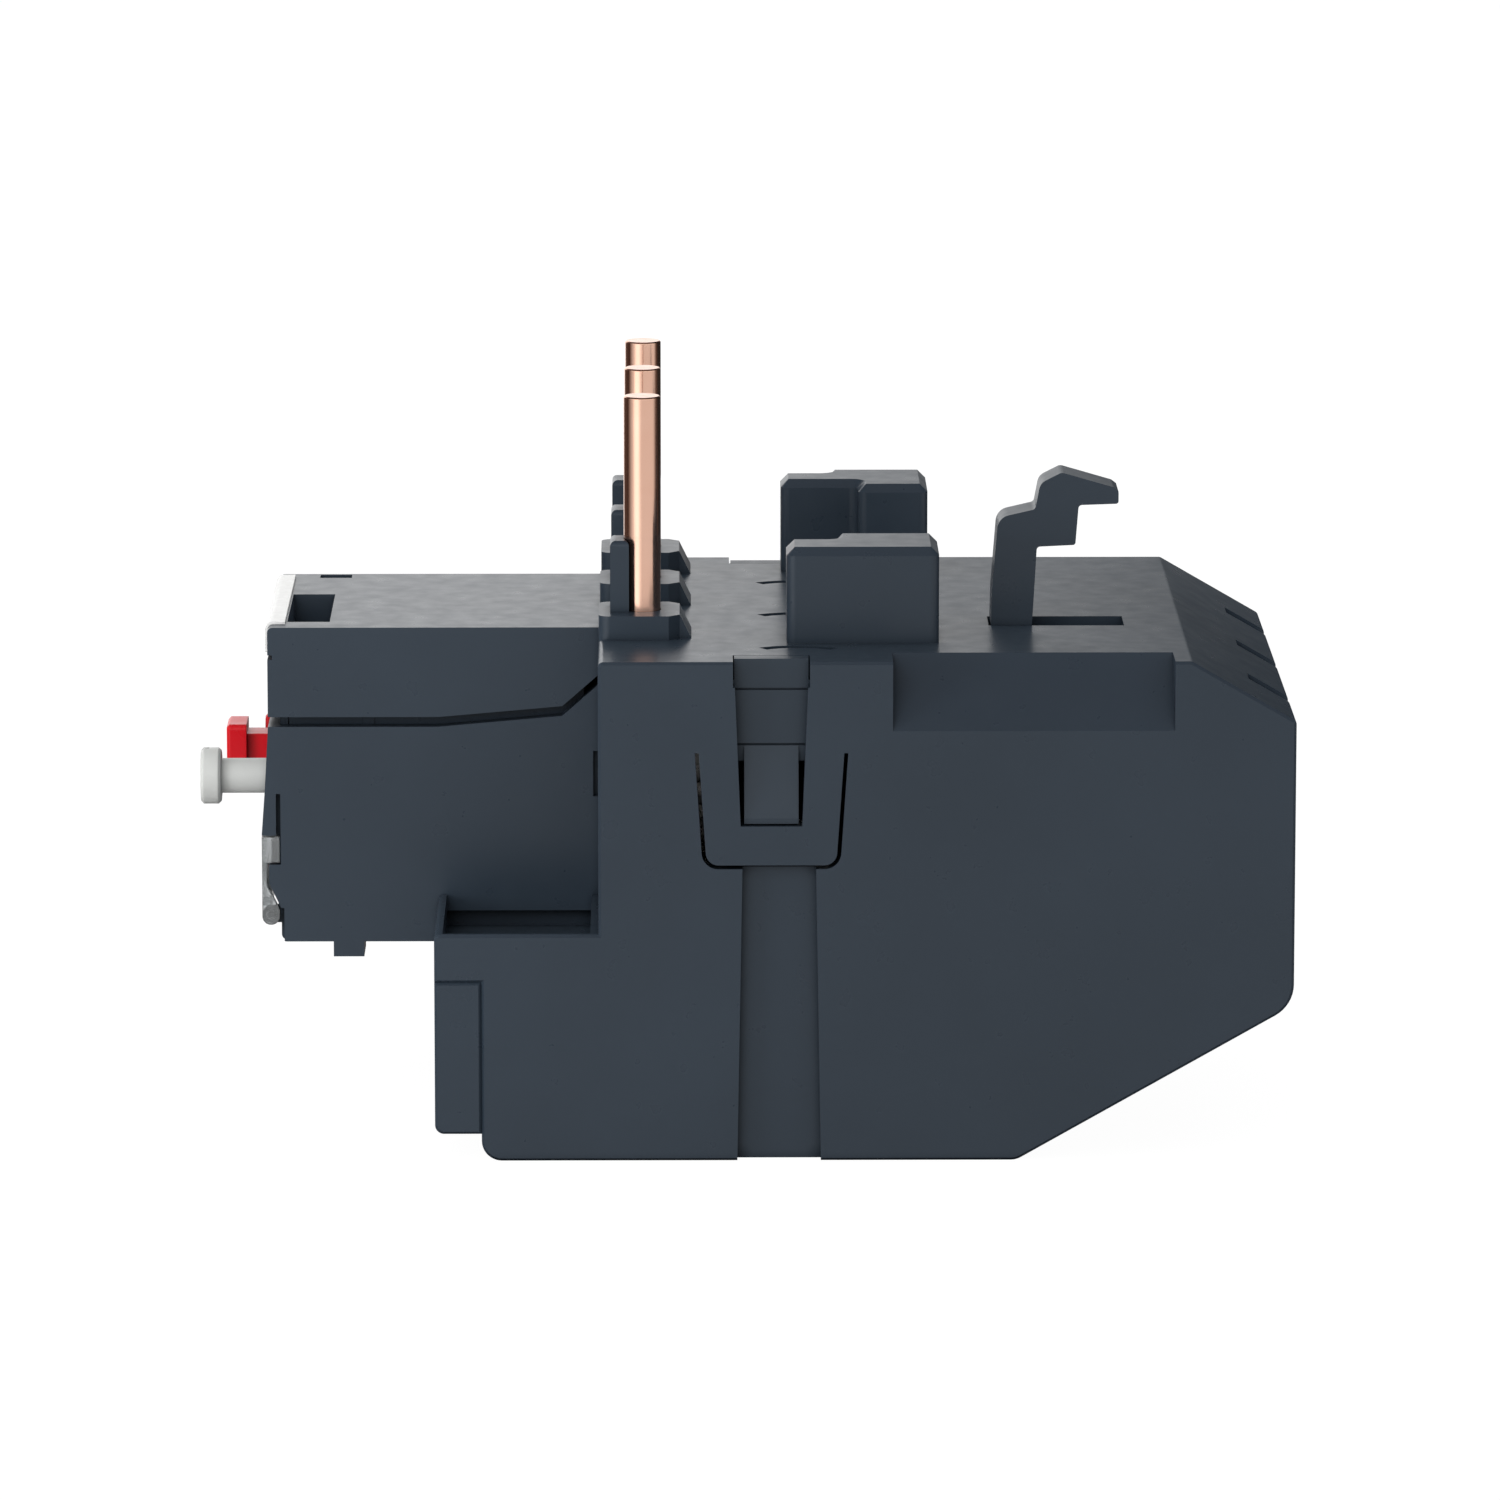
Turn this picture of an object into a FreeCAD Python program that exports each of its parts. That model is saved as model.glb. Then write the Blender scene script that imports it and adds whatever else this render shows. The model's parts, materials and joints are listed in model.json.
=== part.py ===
import FreeCAD, Part
import math
import os

# Thermal overload relay that plugs into a contactor by three copper rods.
# Millimetres. x runs across the poles, y from the control face (-y) to the back (+y), z up.
# The origin lies on the sole, straight below the middle rod.

# ---- housing ---------------------------------------------------------------------------------
housing_width = 70.0
rod_to_centre = 5.45          # the housing's middle plane lies this far right of the middle rod
housing_height = 55.3
front_y = -4.8                # front face of the upper housing
top_back_y = 59.6             # where the top face ends
back_y = 71.0
shoulder_drop = 6.6           # height of the slope behind the top face
heel_z = 17.2                 # where the sloping heel meets the back
heel_radius = 4.0
sole_back_y = 40.8
sole_front_y = -17.6
toe_radius = 2.2
wall = 2.2
edge_radius = 0.6
edge_break = 0.3              # small bevel of outer edges, heads and caps
sole_thickness = 2.4
sole_gap = 0.15               # between the chassis and the housing around it

left_x = rod_to_centre - housing_width / 2
right_x = rod_to_centre + housing_width / 2
roof_z = housing_height - wall

# ---- rods, collars, posts --------------------------------------------------------------------
pole_count = 3
pole_names = ("left", "middle", "right")
rod_margins = 27.12           # housing width outside the outer rods, both sides together
rod_pitch = (housing_width - rod_margins) / 2
rod_radius = 2.03
rod_above = 26.4              # rod length above the top face
rod_tip_chamfer = 0.15
rod_relief = 0.02             # the rod's foot is this much thinner in radius than the clamped length
rod_relief_above = 0.4        # the relief ends this far above the guard post
rod_relief_blend = 0.6
rod_foot_drop = 12.3
rod_foot_z = housing_height - rod_foot_drop
fit = 0.05                    # radial clearance of shafts and rods in their holes
collar_half = 4.86
collar_back = 4.1
collar_flare = 1.3
collar_height = 2.64
collar_corner = 1.2
post_half = 2.4
post_thickness = 2.07
post_back_y = -1.46           # the post's cheeks reach past the rod's front
post_height = 10.57

# ---- towers that reach into the contactor ----------------------------------------------------
tower_height = 10.6
tower_wall = 1.8
tower_corner = 1.0
tower_break = 0.9
# each block: distances of its far and near sides from the housing's side, then front and rear y
right_tower_blocks = ((22.65, 11.75, 21.2, 32.5), (18.65, 11.75, 15.8, 22.4))
left_tower_blocks = ((1.85, 14.05, 24.5, 32.4), (4.45, 10.45, 15.7, 25.6), (1.85, 10.45, 21.1, 25.6))
right_tower = tuple((right_x - far, right_x - near, y0, y1) for far, near, y0, y1 in right_tower_blocks)
left_tower = tuple((left_x + far, left_x + near, y0, y1) for far, near, y0, y1 in left_tower_blocks)

# ---- side channel with the snap tongue -------------------------------------------------------
channel_middle_y = 14.03
slot_half_top = 4.18
slot_half_bottom = 3.35
window_foot_drop = 18.1
window_foot_z = housing_height - window_foot_drop
tongue_half_top = 7.9
tongue_half_bottom = 7.05
tongue_top_drop = 10.0
tongue_top_z = housing_height - tongue_top_drop
tongue_foot_drop = 22.4
tongue_foot_z = housing_height - tongue_foot_drop
tongue_corner = 1.4
slit_width = 0.43
lower_channel_shift = 0.85    # the channel below the tongue stands this far behind the slot
lower_channel_half = 4.0
lower_channel_half_foot = 4.6
lower_channel_depth = 1.6
arm_half = 4.9
arm_thickness = 2.0
arm_neck_gap = 0.15
arm_lead_drop = 3.2
arm_line_drop = 9.3
arm_line_width = 0.25
barb_half = 2.95
barb_top_drop = 9.3
barb_top_z = housing_height - barb_top_drop
barb_full_drop = 17.3
barb_full_z = housing_height - barb_full_drop
barb_gap = 0.2                # between the barb's ledge and the tongue's bar
barb_reach = 1.85
barb_slot_top_drop = 11.25
barb_slot_top_z = housing_height - barb_slot_top_drop
barb_slot_width = 0.8         # slots beside the barb, through the arm

# ---- pocket in the right top edge, grooves, notches ------------------------------------------
pocket_front_y = 27.2
pocket_back_y = 57.8
pocket_depth = 6.0
pocket_drop = 7.6
groove_radius = 6.5
groove_width = 1.5
groove_depth = 0.9
groove_start = -38.0          # degrees each side of straight left
groove_end = 36.0
groove_centre_x = 15.6        # from each rod
groove_centre_y = 17.0
notch_width = 3.6
notch_depth = 1.0
notch_length = 3.6

# ---- load terminals --------------------------------------------------------------------------
terminal_margins = 4.0
terminal_pitch = (housing_width - terminal_margins) / pole_count
terminal_front_y = -22.7
terminal_rim_z = 25.2
shroud_top_z = 19.9
shroud_foot_z = 3.0
shroud_wall = 1.6
shroud_radius = 1.0
chamber_wall_half = 1.8
chamber_half = terminal_pitch / 2 - chamber_wall_half
chamber_front_y = -16.4
chamber_back_y = -3.0
cavity_front_y = -1.4
chamber_top_z = 18.4
window_inset = 1.2
window_half = chamber_half - window_inset
trough_rim = 0.9
trough_lap = 2.0              # the troughs reach this far under the control module
trough_floor_z = 21.3
saddle_z = 23.4
saddle_gap = 0.2

terminal_screw_z = 10.0
screw_head_radius = 3.7
screw_head_length = 2.3
screw_head_y = -22.3
screw_hole_gap = 0.25
screw_shank_radius = 2.5
screw_socket_flats = 4.0
screw_socket_depth = 1.6
end_play = 0.05               # between the screw's tip and the bar
cage_wall = 1.4
cage_half = 7.1
cage_height = 10.4
cage_front_y = -14.95
cage_depth = 11.7
bar_half = 5.2
bar_thickness = 1.6
bar_front_y = -13.2
bar_foot_z = 3.6
bar_back_y = 9.0
bar_slot_gap = 0.1

# ---- bimetals, heaters and the trip slider ---------------------------------------------------
bimetal_thickness = 1.0
bimetal_front_y = 4.0
bimetal_width = 4.0
bimetal_top_drop = 8.3
bimetal_top_z = housing_height - bimetal_top_drop
ribbon_turns = 8
ribbon_lead = 4.2             # from the last turn up to the rod
ribbon_height = 1.4
ribbon_thickness = 0.5
ribbon_gap = 0.7
ribbon_lead_half = 2.4
slider_drop = 10.3
slider_z = housing_height - slider_drop
slider_thickness = 1.2
slider_front_y = 3.0
slider_back_y = 8.95
slider_margin = 3.95
slider_half = -left_x - slider_margin
slider_travel = 2.0
slider_slot_gap = 0.3
slider_tab_y = 0.6
slider_tab_width = 1.4
guide_xs = (-8.5, 14.4)
guide_width = 2.0
guide_back_y = 11.5
guide_play = 0.1

# ---- control module --------------------------------------------------------------------------
module_half = 18.0
module_front_y = -41.5
module_foot_z = 19.9
module_step_y = -22.85
module_wall = 1.6
parting_half = 0.55
parting_points = ((-22.6, 10.6), (-8.9, 9.4), (-4.8, 5.8))      # y, drop below the top face
parting_line = tuple((y, housing_height - drop) for y, drop in parting_points)
lip_height = 1.9
lip_thickness = 0.9
lip_gap = 0.1
plate_back_y = -40.2
plate_lean = 0.8              # the front plate slopes this far outward at its lower edge
window_sill_z = 31.9
dial_plate_inset = 2.6
dial_plate_half = module_half - dial_plate_inset
dial_plate_front_y = -40.6
dial_plate_thickness = 1.8
dial_plate_lap = 1.6
side_slit_width = 0.5
side_slit_top_z = 36.6
bulkhead_y = -31.0
bulkhead_thickness = 1.2
rail_y = -20.6
rail_top_drop = 9.4
rail_top_z = housing_height - rail_top_drop
foot_tab_width = 6.0
foot_tab_ys = (-34.4, -31.0)
foot_tab_drop = 1.7
rear_notch_z = (36.3, 41.4)
rear_notch_size = 0.7

# ---- sealing cover ---------------------------------------------------------------------------
cover_front_y = -42.3
cover_top_z = 31.7
cover_foot_z = 21.8
cover_wall = 1.0
cover_back_y = -40.35
cover_sheet_foot_z = 23.5
cover_pivot_y = -41.3
cover_pivot_z = 22.85
cover_pin_radius = 0.5
cover_eye_radius = 1.0
cover_gap = 0.25
bulge_front_y = -41.5
bulge_zs = (23.7, 26.5, 28.6)
ear_insets = (2.4, 1.2)
ear_inner_x = module_half - ear_insets[0]
ear_outer_x = module_half - ear_insets[1]
cover_relief = 0.35
cover_skin = 0.4              # left outside the blind holes for the pins

# ---- setting dial ----------------------------------------------------------------------------
dial_x = 4.0
dial_z = 26.9
dial_radius = 4.0
dial_flange = 1.0
dial_front_y = -41.0
dial_depth = 2.3
dial_gap = 0.15
dial_slot_width = 1.1
dial_slot_depth = 0.5
dial_stem_radius = 1.6
dial_cam_radius = 2.6
dial_cam_offset = 0.7
dial_cam_length = 2.4
dial_stem_back_y = -26.0
dial_teeth = 24
dial_notch_depth = 0.3

# ---- push buttons ----------------------------------------------------------------------------
button_share = 0.4141         # buttons' height within the upper panel
button_z = window_sill_z + button_share * (parting_line[0][1] - window_sill_z)
reset_x = 10.0
stop_x = -7.0
test_inset = 4.0
test_x = test_inset - module_half
test_share = 0.516
test_z = window_sill_z + test_share * (parting_line[0][1] - window_sill_z)
reset_head_y = -49.3
stop_head_y = -47.1
test_head_y = -43.1
head_thickness = 2.25
head_size = 6.3
shaft_size = 3.9
test_radius = 1.4
shaft_gap = 0.15
collar_y = -39.95
collar_thickness = 1.0
collar_margin = 0.7
stem_radius = 1.2
stem_back_y = -28.2
reset_slot = 0.9
spring_wire = 0.35
spring_radius = 1.75
spring_turns = 5
spring_steps = 12             # straight runs in each turn

# ---- trip lever, contact carrier, contacts ---------------------------------------------------
lever_x = 10.7
lever_y = -11.0
lever_pin_radius = 1.0
lever_shoulder_radius = 1.6
lever_hub_radius = 2.4
lever_hub_drops = (13.3, 7.3)
lever_hub_z = tuple(housing_height - drop for drop in lever_hub_drops)
lever_arm_thickness = 0.8
lever_arm_drops = (11.5, 8.1)
lever_arm_z = tuple(housing_height - drop for drop in lever_arm_drops)
lever_arm_back_y = 2.0
lever_finger_drops = (9.0, 7.4)
lever_finger_z = tuple(housing_height - drop for drop in lever_finger_drops)
lever_finger_width = 2.0
lever_tip_x = -5.0
lever_tip_y = -22.5
lever_tip_radius = 0.6
lever_window_xs = (9.4, 13.4)
lever_window_drops = (12.1, 7.5)
lever_window = lever_window_xs + tuple(housing_height - drop for drop in lever_window_drops)
carrier_drops = (9.3, 5.3)
carrier_z = tuple(housing_height - drop for drop in carrier_drops)
carrier_x = (-13.4, -7.2)
carrier_y = (-35.8, -18.5)
carrier_tab_x = -5.9
carrier_tab_y = -23.6
bridge_thickness = 0.5
contact_radius = 0.9
contact_height = 0.4
contact_ys = (-32.6, -26.2)
strip_thickness = 0.8
strip_x = -5.2
flag_thickness = 0.8
flag_foot_inset = 0.55
stalk_inset = 1.1
flag_x = (-10.2, -7.6)
flag_front_y = -39.7
flag_window_xs = (-12.6, -10.4)
flag_window_drops = (8.4, 5.7)
flag_window = flag_window_xs + tuple(housing_height - drop for drop in flag_window_drops)

# ---- auxiliary terminals ---------------------------------------------------------------------
aux_wire_xs = (0.4, 9.7)
aux_screw_shift = -2.4
aux_drop = 7.0
aux_z = housing_height - aux_drop
aux_head_radius = 2.3
aux_head_y = -41.3
aux_head_length = 2.25
aux_shank_radius = 1.25
aux_shank_back_y = -33.4
aux_slot_width = 0.7
aux_slot_depth = 0.8
saddle_thickness = 0.8
saddle_half_x = 2.5
saddle_reach_x = 4.2
saddle_half_z = 2.3
saddle_play = 0.2
aux_plate_y = -35.6
block_x = (-5.6, module_half - module_wall)
block_back_y = -34.7
funnel_half_x = 4.5
funnel_y = (-39.4, -34.7)
funnel_taper = 0.25
funnel_floor_drop = 4.0
funnel_floor_z = housing_height - funnel_floor_drop
wire_y = -37.0
wire_hole_radius = 1.5
aux_cell_front_y = -39.4
aux_cell_top_drop = 4.3
aux_cell_top_z = housing_height - aux_cell_top_drop
edge_notch_insets = (0.6, 2.7)
edge_notch_ys = (-36.8, -33.2)
edge_notch_depth = 2.5
label_inset = 2.2
label_half = module_half - label_inset
label_thickness = 0.3
label_top_width = 1.9
label_drop = 3.1
label_groove = 0.5

# ---- contactor hook --------------------------------------------------------------------------
hook_x = (11.35, 17.05)
hook_slot_gap = 0.15
hook_slot_y = (38.3, 53.3)
hook_travel = 9.6
hook_foot_y = (36.5, 45.1)
hook_foot_side = 3.1
hook_foot_thickness = 1.4
hook_play = 0.1
hook_rail_thickness = 1.5
hook_rail_lip = 2.2
# side outline above the top face: y, height, corner radius
hook_outline = (
    (38.55, 0.0, 0.0), (38.65, 3.8, 2.0), (39.3, 12.05, 1.6), (43.4, 13.0, 0.5), (43.95, 15.9, 1.3),
    (46.3, 17.1, 0.8), (52.0, 15.45, 0.5), (52.6, 15.0, 0.3), (52.6, 13.6, 0.3),
    (48.2, 13.45, 0.4), (47.85, 9.0, 0.3), (43.6, 8.8, 0.4), (43.1, 0.0, 0.0))


# ---- helpers ---------------------------------------------------------------------------------
def rod_x(pole):
    return (pole - 1) * rod_pitch


def terminal_x(pole):
    return rod_to_centre + (pole - 1) * terminal_pitch


def box(x0, x1, y0, y1, z0, z1):
    return Part.makeBox(x1 - x0, y1 - y0, z1 - z0, FreeCAD.Vector(x0, y0, z0))


def rod_y(x, z, radius, y0, y1):
    return Part.makeCylinder(radius, y1 - y0, FreeCAD.Vector(x, y0, z), FreeCAD.Vector(0, 1, 0))


def rod_z(x, y, radius, z0, z1):
    return Part.makeCylinder(radius, z1 - z0, FreeCAD.Vector(x, y, z0), FreeCAD.Vector(0, 0, 1))


def rod_along_x(y, z, radius, x0, x1):
    return Part.makeCylinder(radius, x1 - x0, FreeCAD.Vector(x0, y, z), FreeCAD.Vector(1, 0, 0))


def place(axis, u, v, w):
    """A point whose plane coordinates are u, v, at w along the axis."""
    if axis == "x":
        return FreeCAD.Vector(w, u, v)
    if axis == "y":
        return FreeCAD.Vector(u, w, v)
    return FreeCAD.Vector(u, v, w)


def rounded_wire(axis, corners, level):
    """Closed outline through the corners (u, v, radius), each rounded by a tangent arc."""
    ends = []
    count = len(corners)
    for i in range(count):
        u, v, radius = corners[i]
        here = place(axis, u, v, level)
        if radius == 0:
            ends.append((here, None, here))
            continue
        before = place(axis, corners[i - 1][0], corners[i - 1][1], level) - here
        after = place(axis, corners[(i + 1) % count][0], corners[(i + 1) % count][1], level) - here
        before.normalize()
        after.normalize()
        half = before.getAngle(after) / 2
        reach = radius / math.tan(half)
        middle = before + after
        middle.normalize()
        top = here + middle * (radius / math.sin(half) - radius)
        ends.append((here + before * reach, top, here + after * reach))
    edges = []
    for i in range(count):
        start, top, end = ends[i]
        if top is not None:
            edges.append(Part.Arc(start, top, end).toShape())
        following = ends[(i + 1) % count][0]
        if end.distanceToPoint(following) > 1e-6:
            edges.append(Part.LineSegment(end, following).toShape())
    return Part.Wire(edges)


def prism(axis, corners, start, end):
    """Solid with the given outline, from start to end along the axis."""
    face = Part.Face(rounded_wire(axis, corners, start))
    return face.extrude(place(axis, 0, 0, end - start))


def sharp(points):
    return [(u, v, 0.0) for u, v in points]


def edges_along(shape, direction):
    """Straight edges that run along the direction."""
    found = []
    for edge in shape.Edges:
        if edge.Curve.TypeId == "Part::GeomLine":
            if abs(abs(edge.Curve.Direction.dot(direction)) - 1) < 1e-6:
                found.append(edge)
    return found


def end_edges(shape, axis_index, levels):
    """Edges that lie wholly on one of the levels across the given axis."""
    found = []
    for edge in shape.Edges:
        low = (edge.BoundBox.XMin, edge.BoundBox.YMin, edge.BoundBox.ZMin)[axis_index]
        high = (edge.BoundBox.XMax, edge.BoundBox.YMax, edge.BoundBox.ZMax)[axis_index]
        for level in levels:
            if abs(low - level) < 1e-4 and abs(high - level) < 1e-4:
                found.append(edge)
    return found


def fuse(first, *others):
    return first.fuse(list(others)).removeSplitter()


def cut(first, *others):
    return first.cut(list(others))


def side_span(side, near, far):
    """Low and high x of a feature that lies from near to far out on one side of the module."""
    return min(side * near, side * far), max(side * near, side * far)


def mirror_sides(shape):
    """The same feature on the housing's other side."""
    return shape.mirror(FreeCAD.Vector(rod_to_centre, 0, 0), FreeCAD.Vector(1, 0, 0))


def slope_offset(start, end, distance):
    """Shift the line from start to end by a distance to its left."""
    length = math.hypot(end[0] - start[0], end[1] - start[1])
    du = -(end[1] - start[1]) / length * distance
    dv = (end[0] - start[0]) / length * distance
    return (start[0] + du, start[1] + dv), (end[0] + du, end[1] + dv)


def meet_u(line, v):
    """Where a line reaches the height v."""
    (u0, v0), (u1, v1) = line
    return u0 + (u1 - u0) * (v - v0) / (v1 - v0)


def meet_v(line, u):
    """The line's height at u."""
    (u0, v0), (u1, v1) = line
    return v0 + (v1 - v0) * (u - u0) / (u1 - u0)


# ---- housing shell ---------------------------------------------------------------------------
def heel_line(offset):
    return slope_offset((sole_back_y, 0.0), (back_y, heel_z), offset)


def shoulder_line(offset):
    return slope_offset((back_y, housing_height - shoulder_drop), (top_back_y, housing_height), offset)


def housing_block():
    outline = [
        (sole_front_y, 0.0, toe_radius),
        (sole_front_y, shroud_top_z, 0.0),
        (terminal_front_y, shroud_top_z, 0.0),
        (terminal_front_y, terminal_rim_z, edge_radius),
        (front_y, terminal_rim_z, 0.0),
        (front_y, housing_height, edge_radius),
        (top_back_y, housing_height, edge_radius),
        (back_y, housing_height - shoulder_drop, edge_radius),
        (back_y, heel_z, heel_radius),
        (sole_back_y, 0.0, toe_radius)]
    block = prism("x", outline, left_x, right_x)
    return block.makeChamfer(edge_break, end_edges(block, 0, (left_x, right_x)))


def pocket_wedge(inset):
    """Sloping pocket in the right top edge, or with an inset the room that the wall behind it needs."""
    slope = (pocket_depth / pocket_drop)
    top = housing_height + edge_radius
    start_x = right_x - pocket_depth - inset - slope * edge_radius
    outline = [(start_x, top), (right_x + wall, top), (right_x + wall, housing_height - pocket_drop - inset),
               (right_x - inset + slope * inset, housing_height - pocket_drop - inset)]
    return prism("y", sharp(outline), pocket_front_y - inset, pocket_back_y + inset)


def cavity():
    heel = heel_line(wall)
    shoulder = shoulder_line(wall)
    inner_back = back_y - wall
    upper_front = front_y + wall
    step_z = chamber_top_z + wall
    outline = [
        (cavity_front_y, -wall),
        (cavity_front_y, step_z),
        (upper_front, step_z),
        (upper_front, roof_z),
        (meet_u(shoulder, roof_z), roof_z),
        (inner_back, meet_v(shoulder, inner_back)),
        (inner_back, meet_v(heel, inner_back)),
        (meet_u(heel, -wall), -wall)]
    room = prism("x", sharp(outline), left_x + wall, right_x - wall)
    return cut(room, pocket_wedge(wall))


def terminal_cuts():
    cuts = []
    for pole in range(pole_count):
        x = terminal_x(pole)
        cuts.append(box(x - chamber_half, x + chamber_half, chamber_front_y, chamber_back_y,
                        -wall, chamber_top_z))
        window_foot = shroud_foot_z + shroud_wall
        cuts.append(box(x - window_half, x + window_half, sole_front_y - wall, chamber_front_y,
                        window_foot, chamber_top_z))
        slot_half = bar_half + bar_slot_gap
        slot_foot = chamber_top_z - bar_thickness - 3 * bar_slot_gap
        cuts.append(box(x - slot_half, x + slot_half, chamber_back_y, cavity_front_y,
                        slot_foot, chamber_top_z))
    trough_front = terminal_front_y + trough_rim
    trough_back = front_y - trough_rim
    above = terminal_rim_z + wall
    inner_x = module_half - trough_lap
    cuts.append(box(inner_x, right_x - trough_rim, trough_front, trough_back, trough_floor_z, above))
    cuts.append(box(left_x + trough_rim, -inner_x, trough_front, trough_back, trough_floor_z, above))
    saddle_half = module_half + saddle_gap
    cuts.append(box(-saddle_half, saddle_half, terminal_front_y - wall, front_y, saddle_z, above))
    return cuts


def collar(pole):
    """Low collar round a rod: bevelled rear corners and a foot that flares to the back."""
    x = rod_x(pole)
    top = housing_height + collar_height
    x0 = x - collar_half
    x1 = x + collar_half
    bevel_y = collar_back - collar_corner
    outline = [
        (x0, front_y, collar_corner), (x1, front_y, collar_corner), (x1, bevel_y, 0.0),
        (x1 - collar_corner, collar_back, 0.0), (x0 + collar_corner, collar_back, 0.0), (x0, bevel_y, 0.0)]
    body = prism("z", outline, roof_z, top)
    foot_y = collar_back + collar_flare
    ramp_start = collar_back - edge_radius
    profile = [(ramp_start, top), (collar_back, top), (foot_y, housing_height), (foot_y, roof_z),
               (ramp_start, roof_z)]
    ramp = prism("x", sharp(profile), x0 + collar_corner, x1 - collar_corner)
    return fuse(body, ramp)


def post(pole):
    """Upright guard in front of a rod, with two cheeks beside it."""
    x = rod_x(pole)
    top = housing_height + post_height
    block = box(x - post_half, x + post_half, post_back_y - post_thickness, post_back_y, roof_z, top)
    return block.makeFillet(edge_radius, end_edges(block, 2, (top,)))


def tower_block(footprint):
    x0, x1, y0, y1 = footprint
    return box(x0, x1, y0, y1, roof_z, housing_height + tower_height)


def tower(footprints):
    """Hollow tower of one or more joined blocks, with rounded upright and top edges."""
    blocks = [tower_block(footprint) for footprint in footprints]
    body = blocks[0]
    if len(blocks) > 1:
        body = fuse(body, *blocks[1:])
    body = body.makeFillet(tower_corner, edges_along(body, FreeCAD.Vector(0, 0, 1)))
    top = housing_height + tower_height
    return body.makeChamfer(tower_break, end_edges(body, 2, (top,)))


def tower_hollow(footprint):
    x0, x1, y0, y1 = footprint
    return box(x0 + tower_wall, x1 - tower_wall, y0 + tower_wall, y1 - tower_wall,
               roof_z - wall, housing_height + tower_height - tower_wall)


def side_slot():
    """Tapered slot from the top edge to the tongue's bar, open through the right wall and the roof."""
    low = window_foot_z
    outline = [
        (channel_middle_y - slot_half_bottom, low), (channel_middle_y + slot_half_bottom, low),
        (channel_middle_y + slot_half_top, housing_height + wall),
        (channel_middle_y - slot_half_top, housing_height + wall)]
    reach = wall + sole_gap + arm_thickness + arm_neck_gap
    through = prism("x", sharp(outline), right_x - wall - edge_radius, right_x + wall)
    roof = box(right_x - reach, right_x + wall,
               channel_middle_y - slot_half_top, channel_middle_y + slot_half_top,
               roof_z - edge_radius, housing_height + wall)
    return fuse(through, roof)


def tongue_slit():
    """U-shaped slit that frees the snap tongue."""
    def shape(grow):
        return prism("x", [
            (channel_middle_y - tongue_half_top - grow, tongue_top_z, 0.0),
            (channel_middle_y - tongue_half_bottom - grow, tongue_foot_z - grow, tongue_corner + grow),
            (channel_middle_y + tongue_half_bottom + grow, tongue_foot_z - grow, tongue_corner + grow),
            (channel_middle_y + tongue_half_top + grow, tongue_top_z, 0.0)],
            right_x - wall - edge_radius, right_x + wall)
    return cut(shape(slit_width), shape(0.0))


def lower_channel():
    inner = right_x - lower_channel_depth
    middle = channel_middle_y + lower_channel_shift
    top = tongue_foot_z - slit_width / 2
    outline = [
        (middle - lower_channel_half_foot, -wall), (middle + lower_channel_half_foot, -wall),
        (middle + lower_channel_half, top), (middle - lower_channel_half, top)]
    return prism("x", sharp(outline), inner, right_x + wall)


def arc_groove(pole):
    """Curved groove in the top face beside each pole."""
    centre = FreeCAD.Vector(rod_x(pole) + groove_centre_x, groove_centre_y, housing_height - groove_depth)
    low = math.radians(180 + groove_start)
    high = math.radians(180 + groove_end)
    inner = groove_radius - groove_width / 2
    outer = groove_radius + groove_width / 2

    def at(radius, angle):
        return centre + FreeCAD.Vector(radius * math.cos(angle), radius * math.sin(angle), 0)
    middle = (low + high) / 2
    edges = [
        Part.Arc(at(inner, low), at(inner, middle), at(inner, high)).toShape(),
        Part.LineSegment(at(inner, high), at(outer, high)).toShape(),
        Part.Arc(at(outer, high), at(outer, middle), at(outer, low)).toShape(),
        Part.LineSegment(at(outer, low), at(inner, low)).toShape()]
    return Part.Face(Part.Wire(edges)).extrude(FreeCAD.Vector(0, 0, groove_depth + wall))


def shoulder_notch(pole):
    """Shallow recess over the edge between the rear slope and the back."""
    x = rod_to_centre + rod_x(pole)
    edge_z = housing_height - shoulder_drop
    lean = shoulder_line(0.0)
    inner = shoulder_line(notch_depth)
    high_z = edge_z + notch_length * shoulder_drop / (back_y - top_back_y)
    outline = [
        (meet_u(lean, high_z) + wall, high_z + wall), (meet_u(inner, high_z), high_z),
        (back_y - notch_depth, meet_v(inner, back_y - notch_depth)),
        (back_y - notch_depth, edge_z - notch_width), (back_y + wall, edge_z - notch_width)]
    return prism("x", sharp(outline), x - notch_width / 2, x + notch_width / 2)


def hook_rails():
    """Two L-shaped rails below the roof that carry the hook's foot."""
    rails = []
    foot_x0 = hook_x[0] - hook_foot_side
    foot_x1 = hook_x[1] + hook_foot_side
    lip_top = roof_z - 2 * hook_play - hook_foot_thickness
    lip_foot = lip_top - hook_rail_thickness
    y0 = hook_foot_y[0] - hook_play
    y1 = hook_foot_y[1] + hook_travel + hook_play
    for side, edge in ((-1, foot_x0), (1, foot_x1)):
        near = edge + side * hook_play
        far = near + side * hook_rail_thickness
        lip = near - side * hook_rail_lip
        rails.append(box(min(near, far), max(near, far), y0, y1, lip_foot, roof_z + edge_radius))
        rails.append(box(min(lip, far), max(lip, far), y0, y1, lip_foot, lip_top))
    return rails


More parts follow.
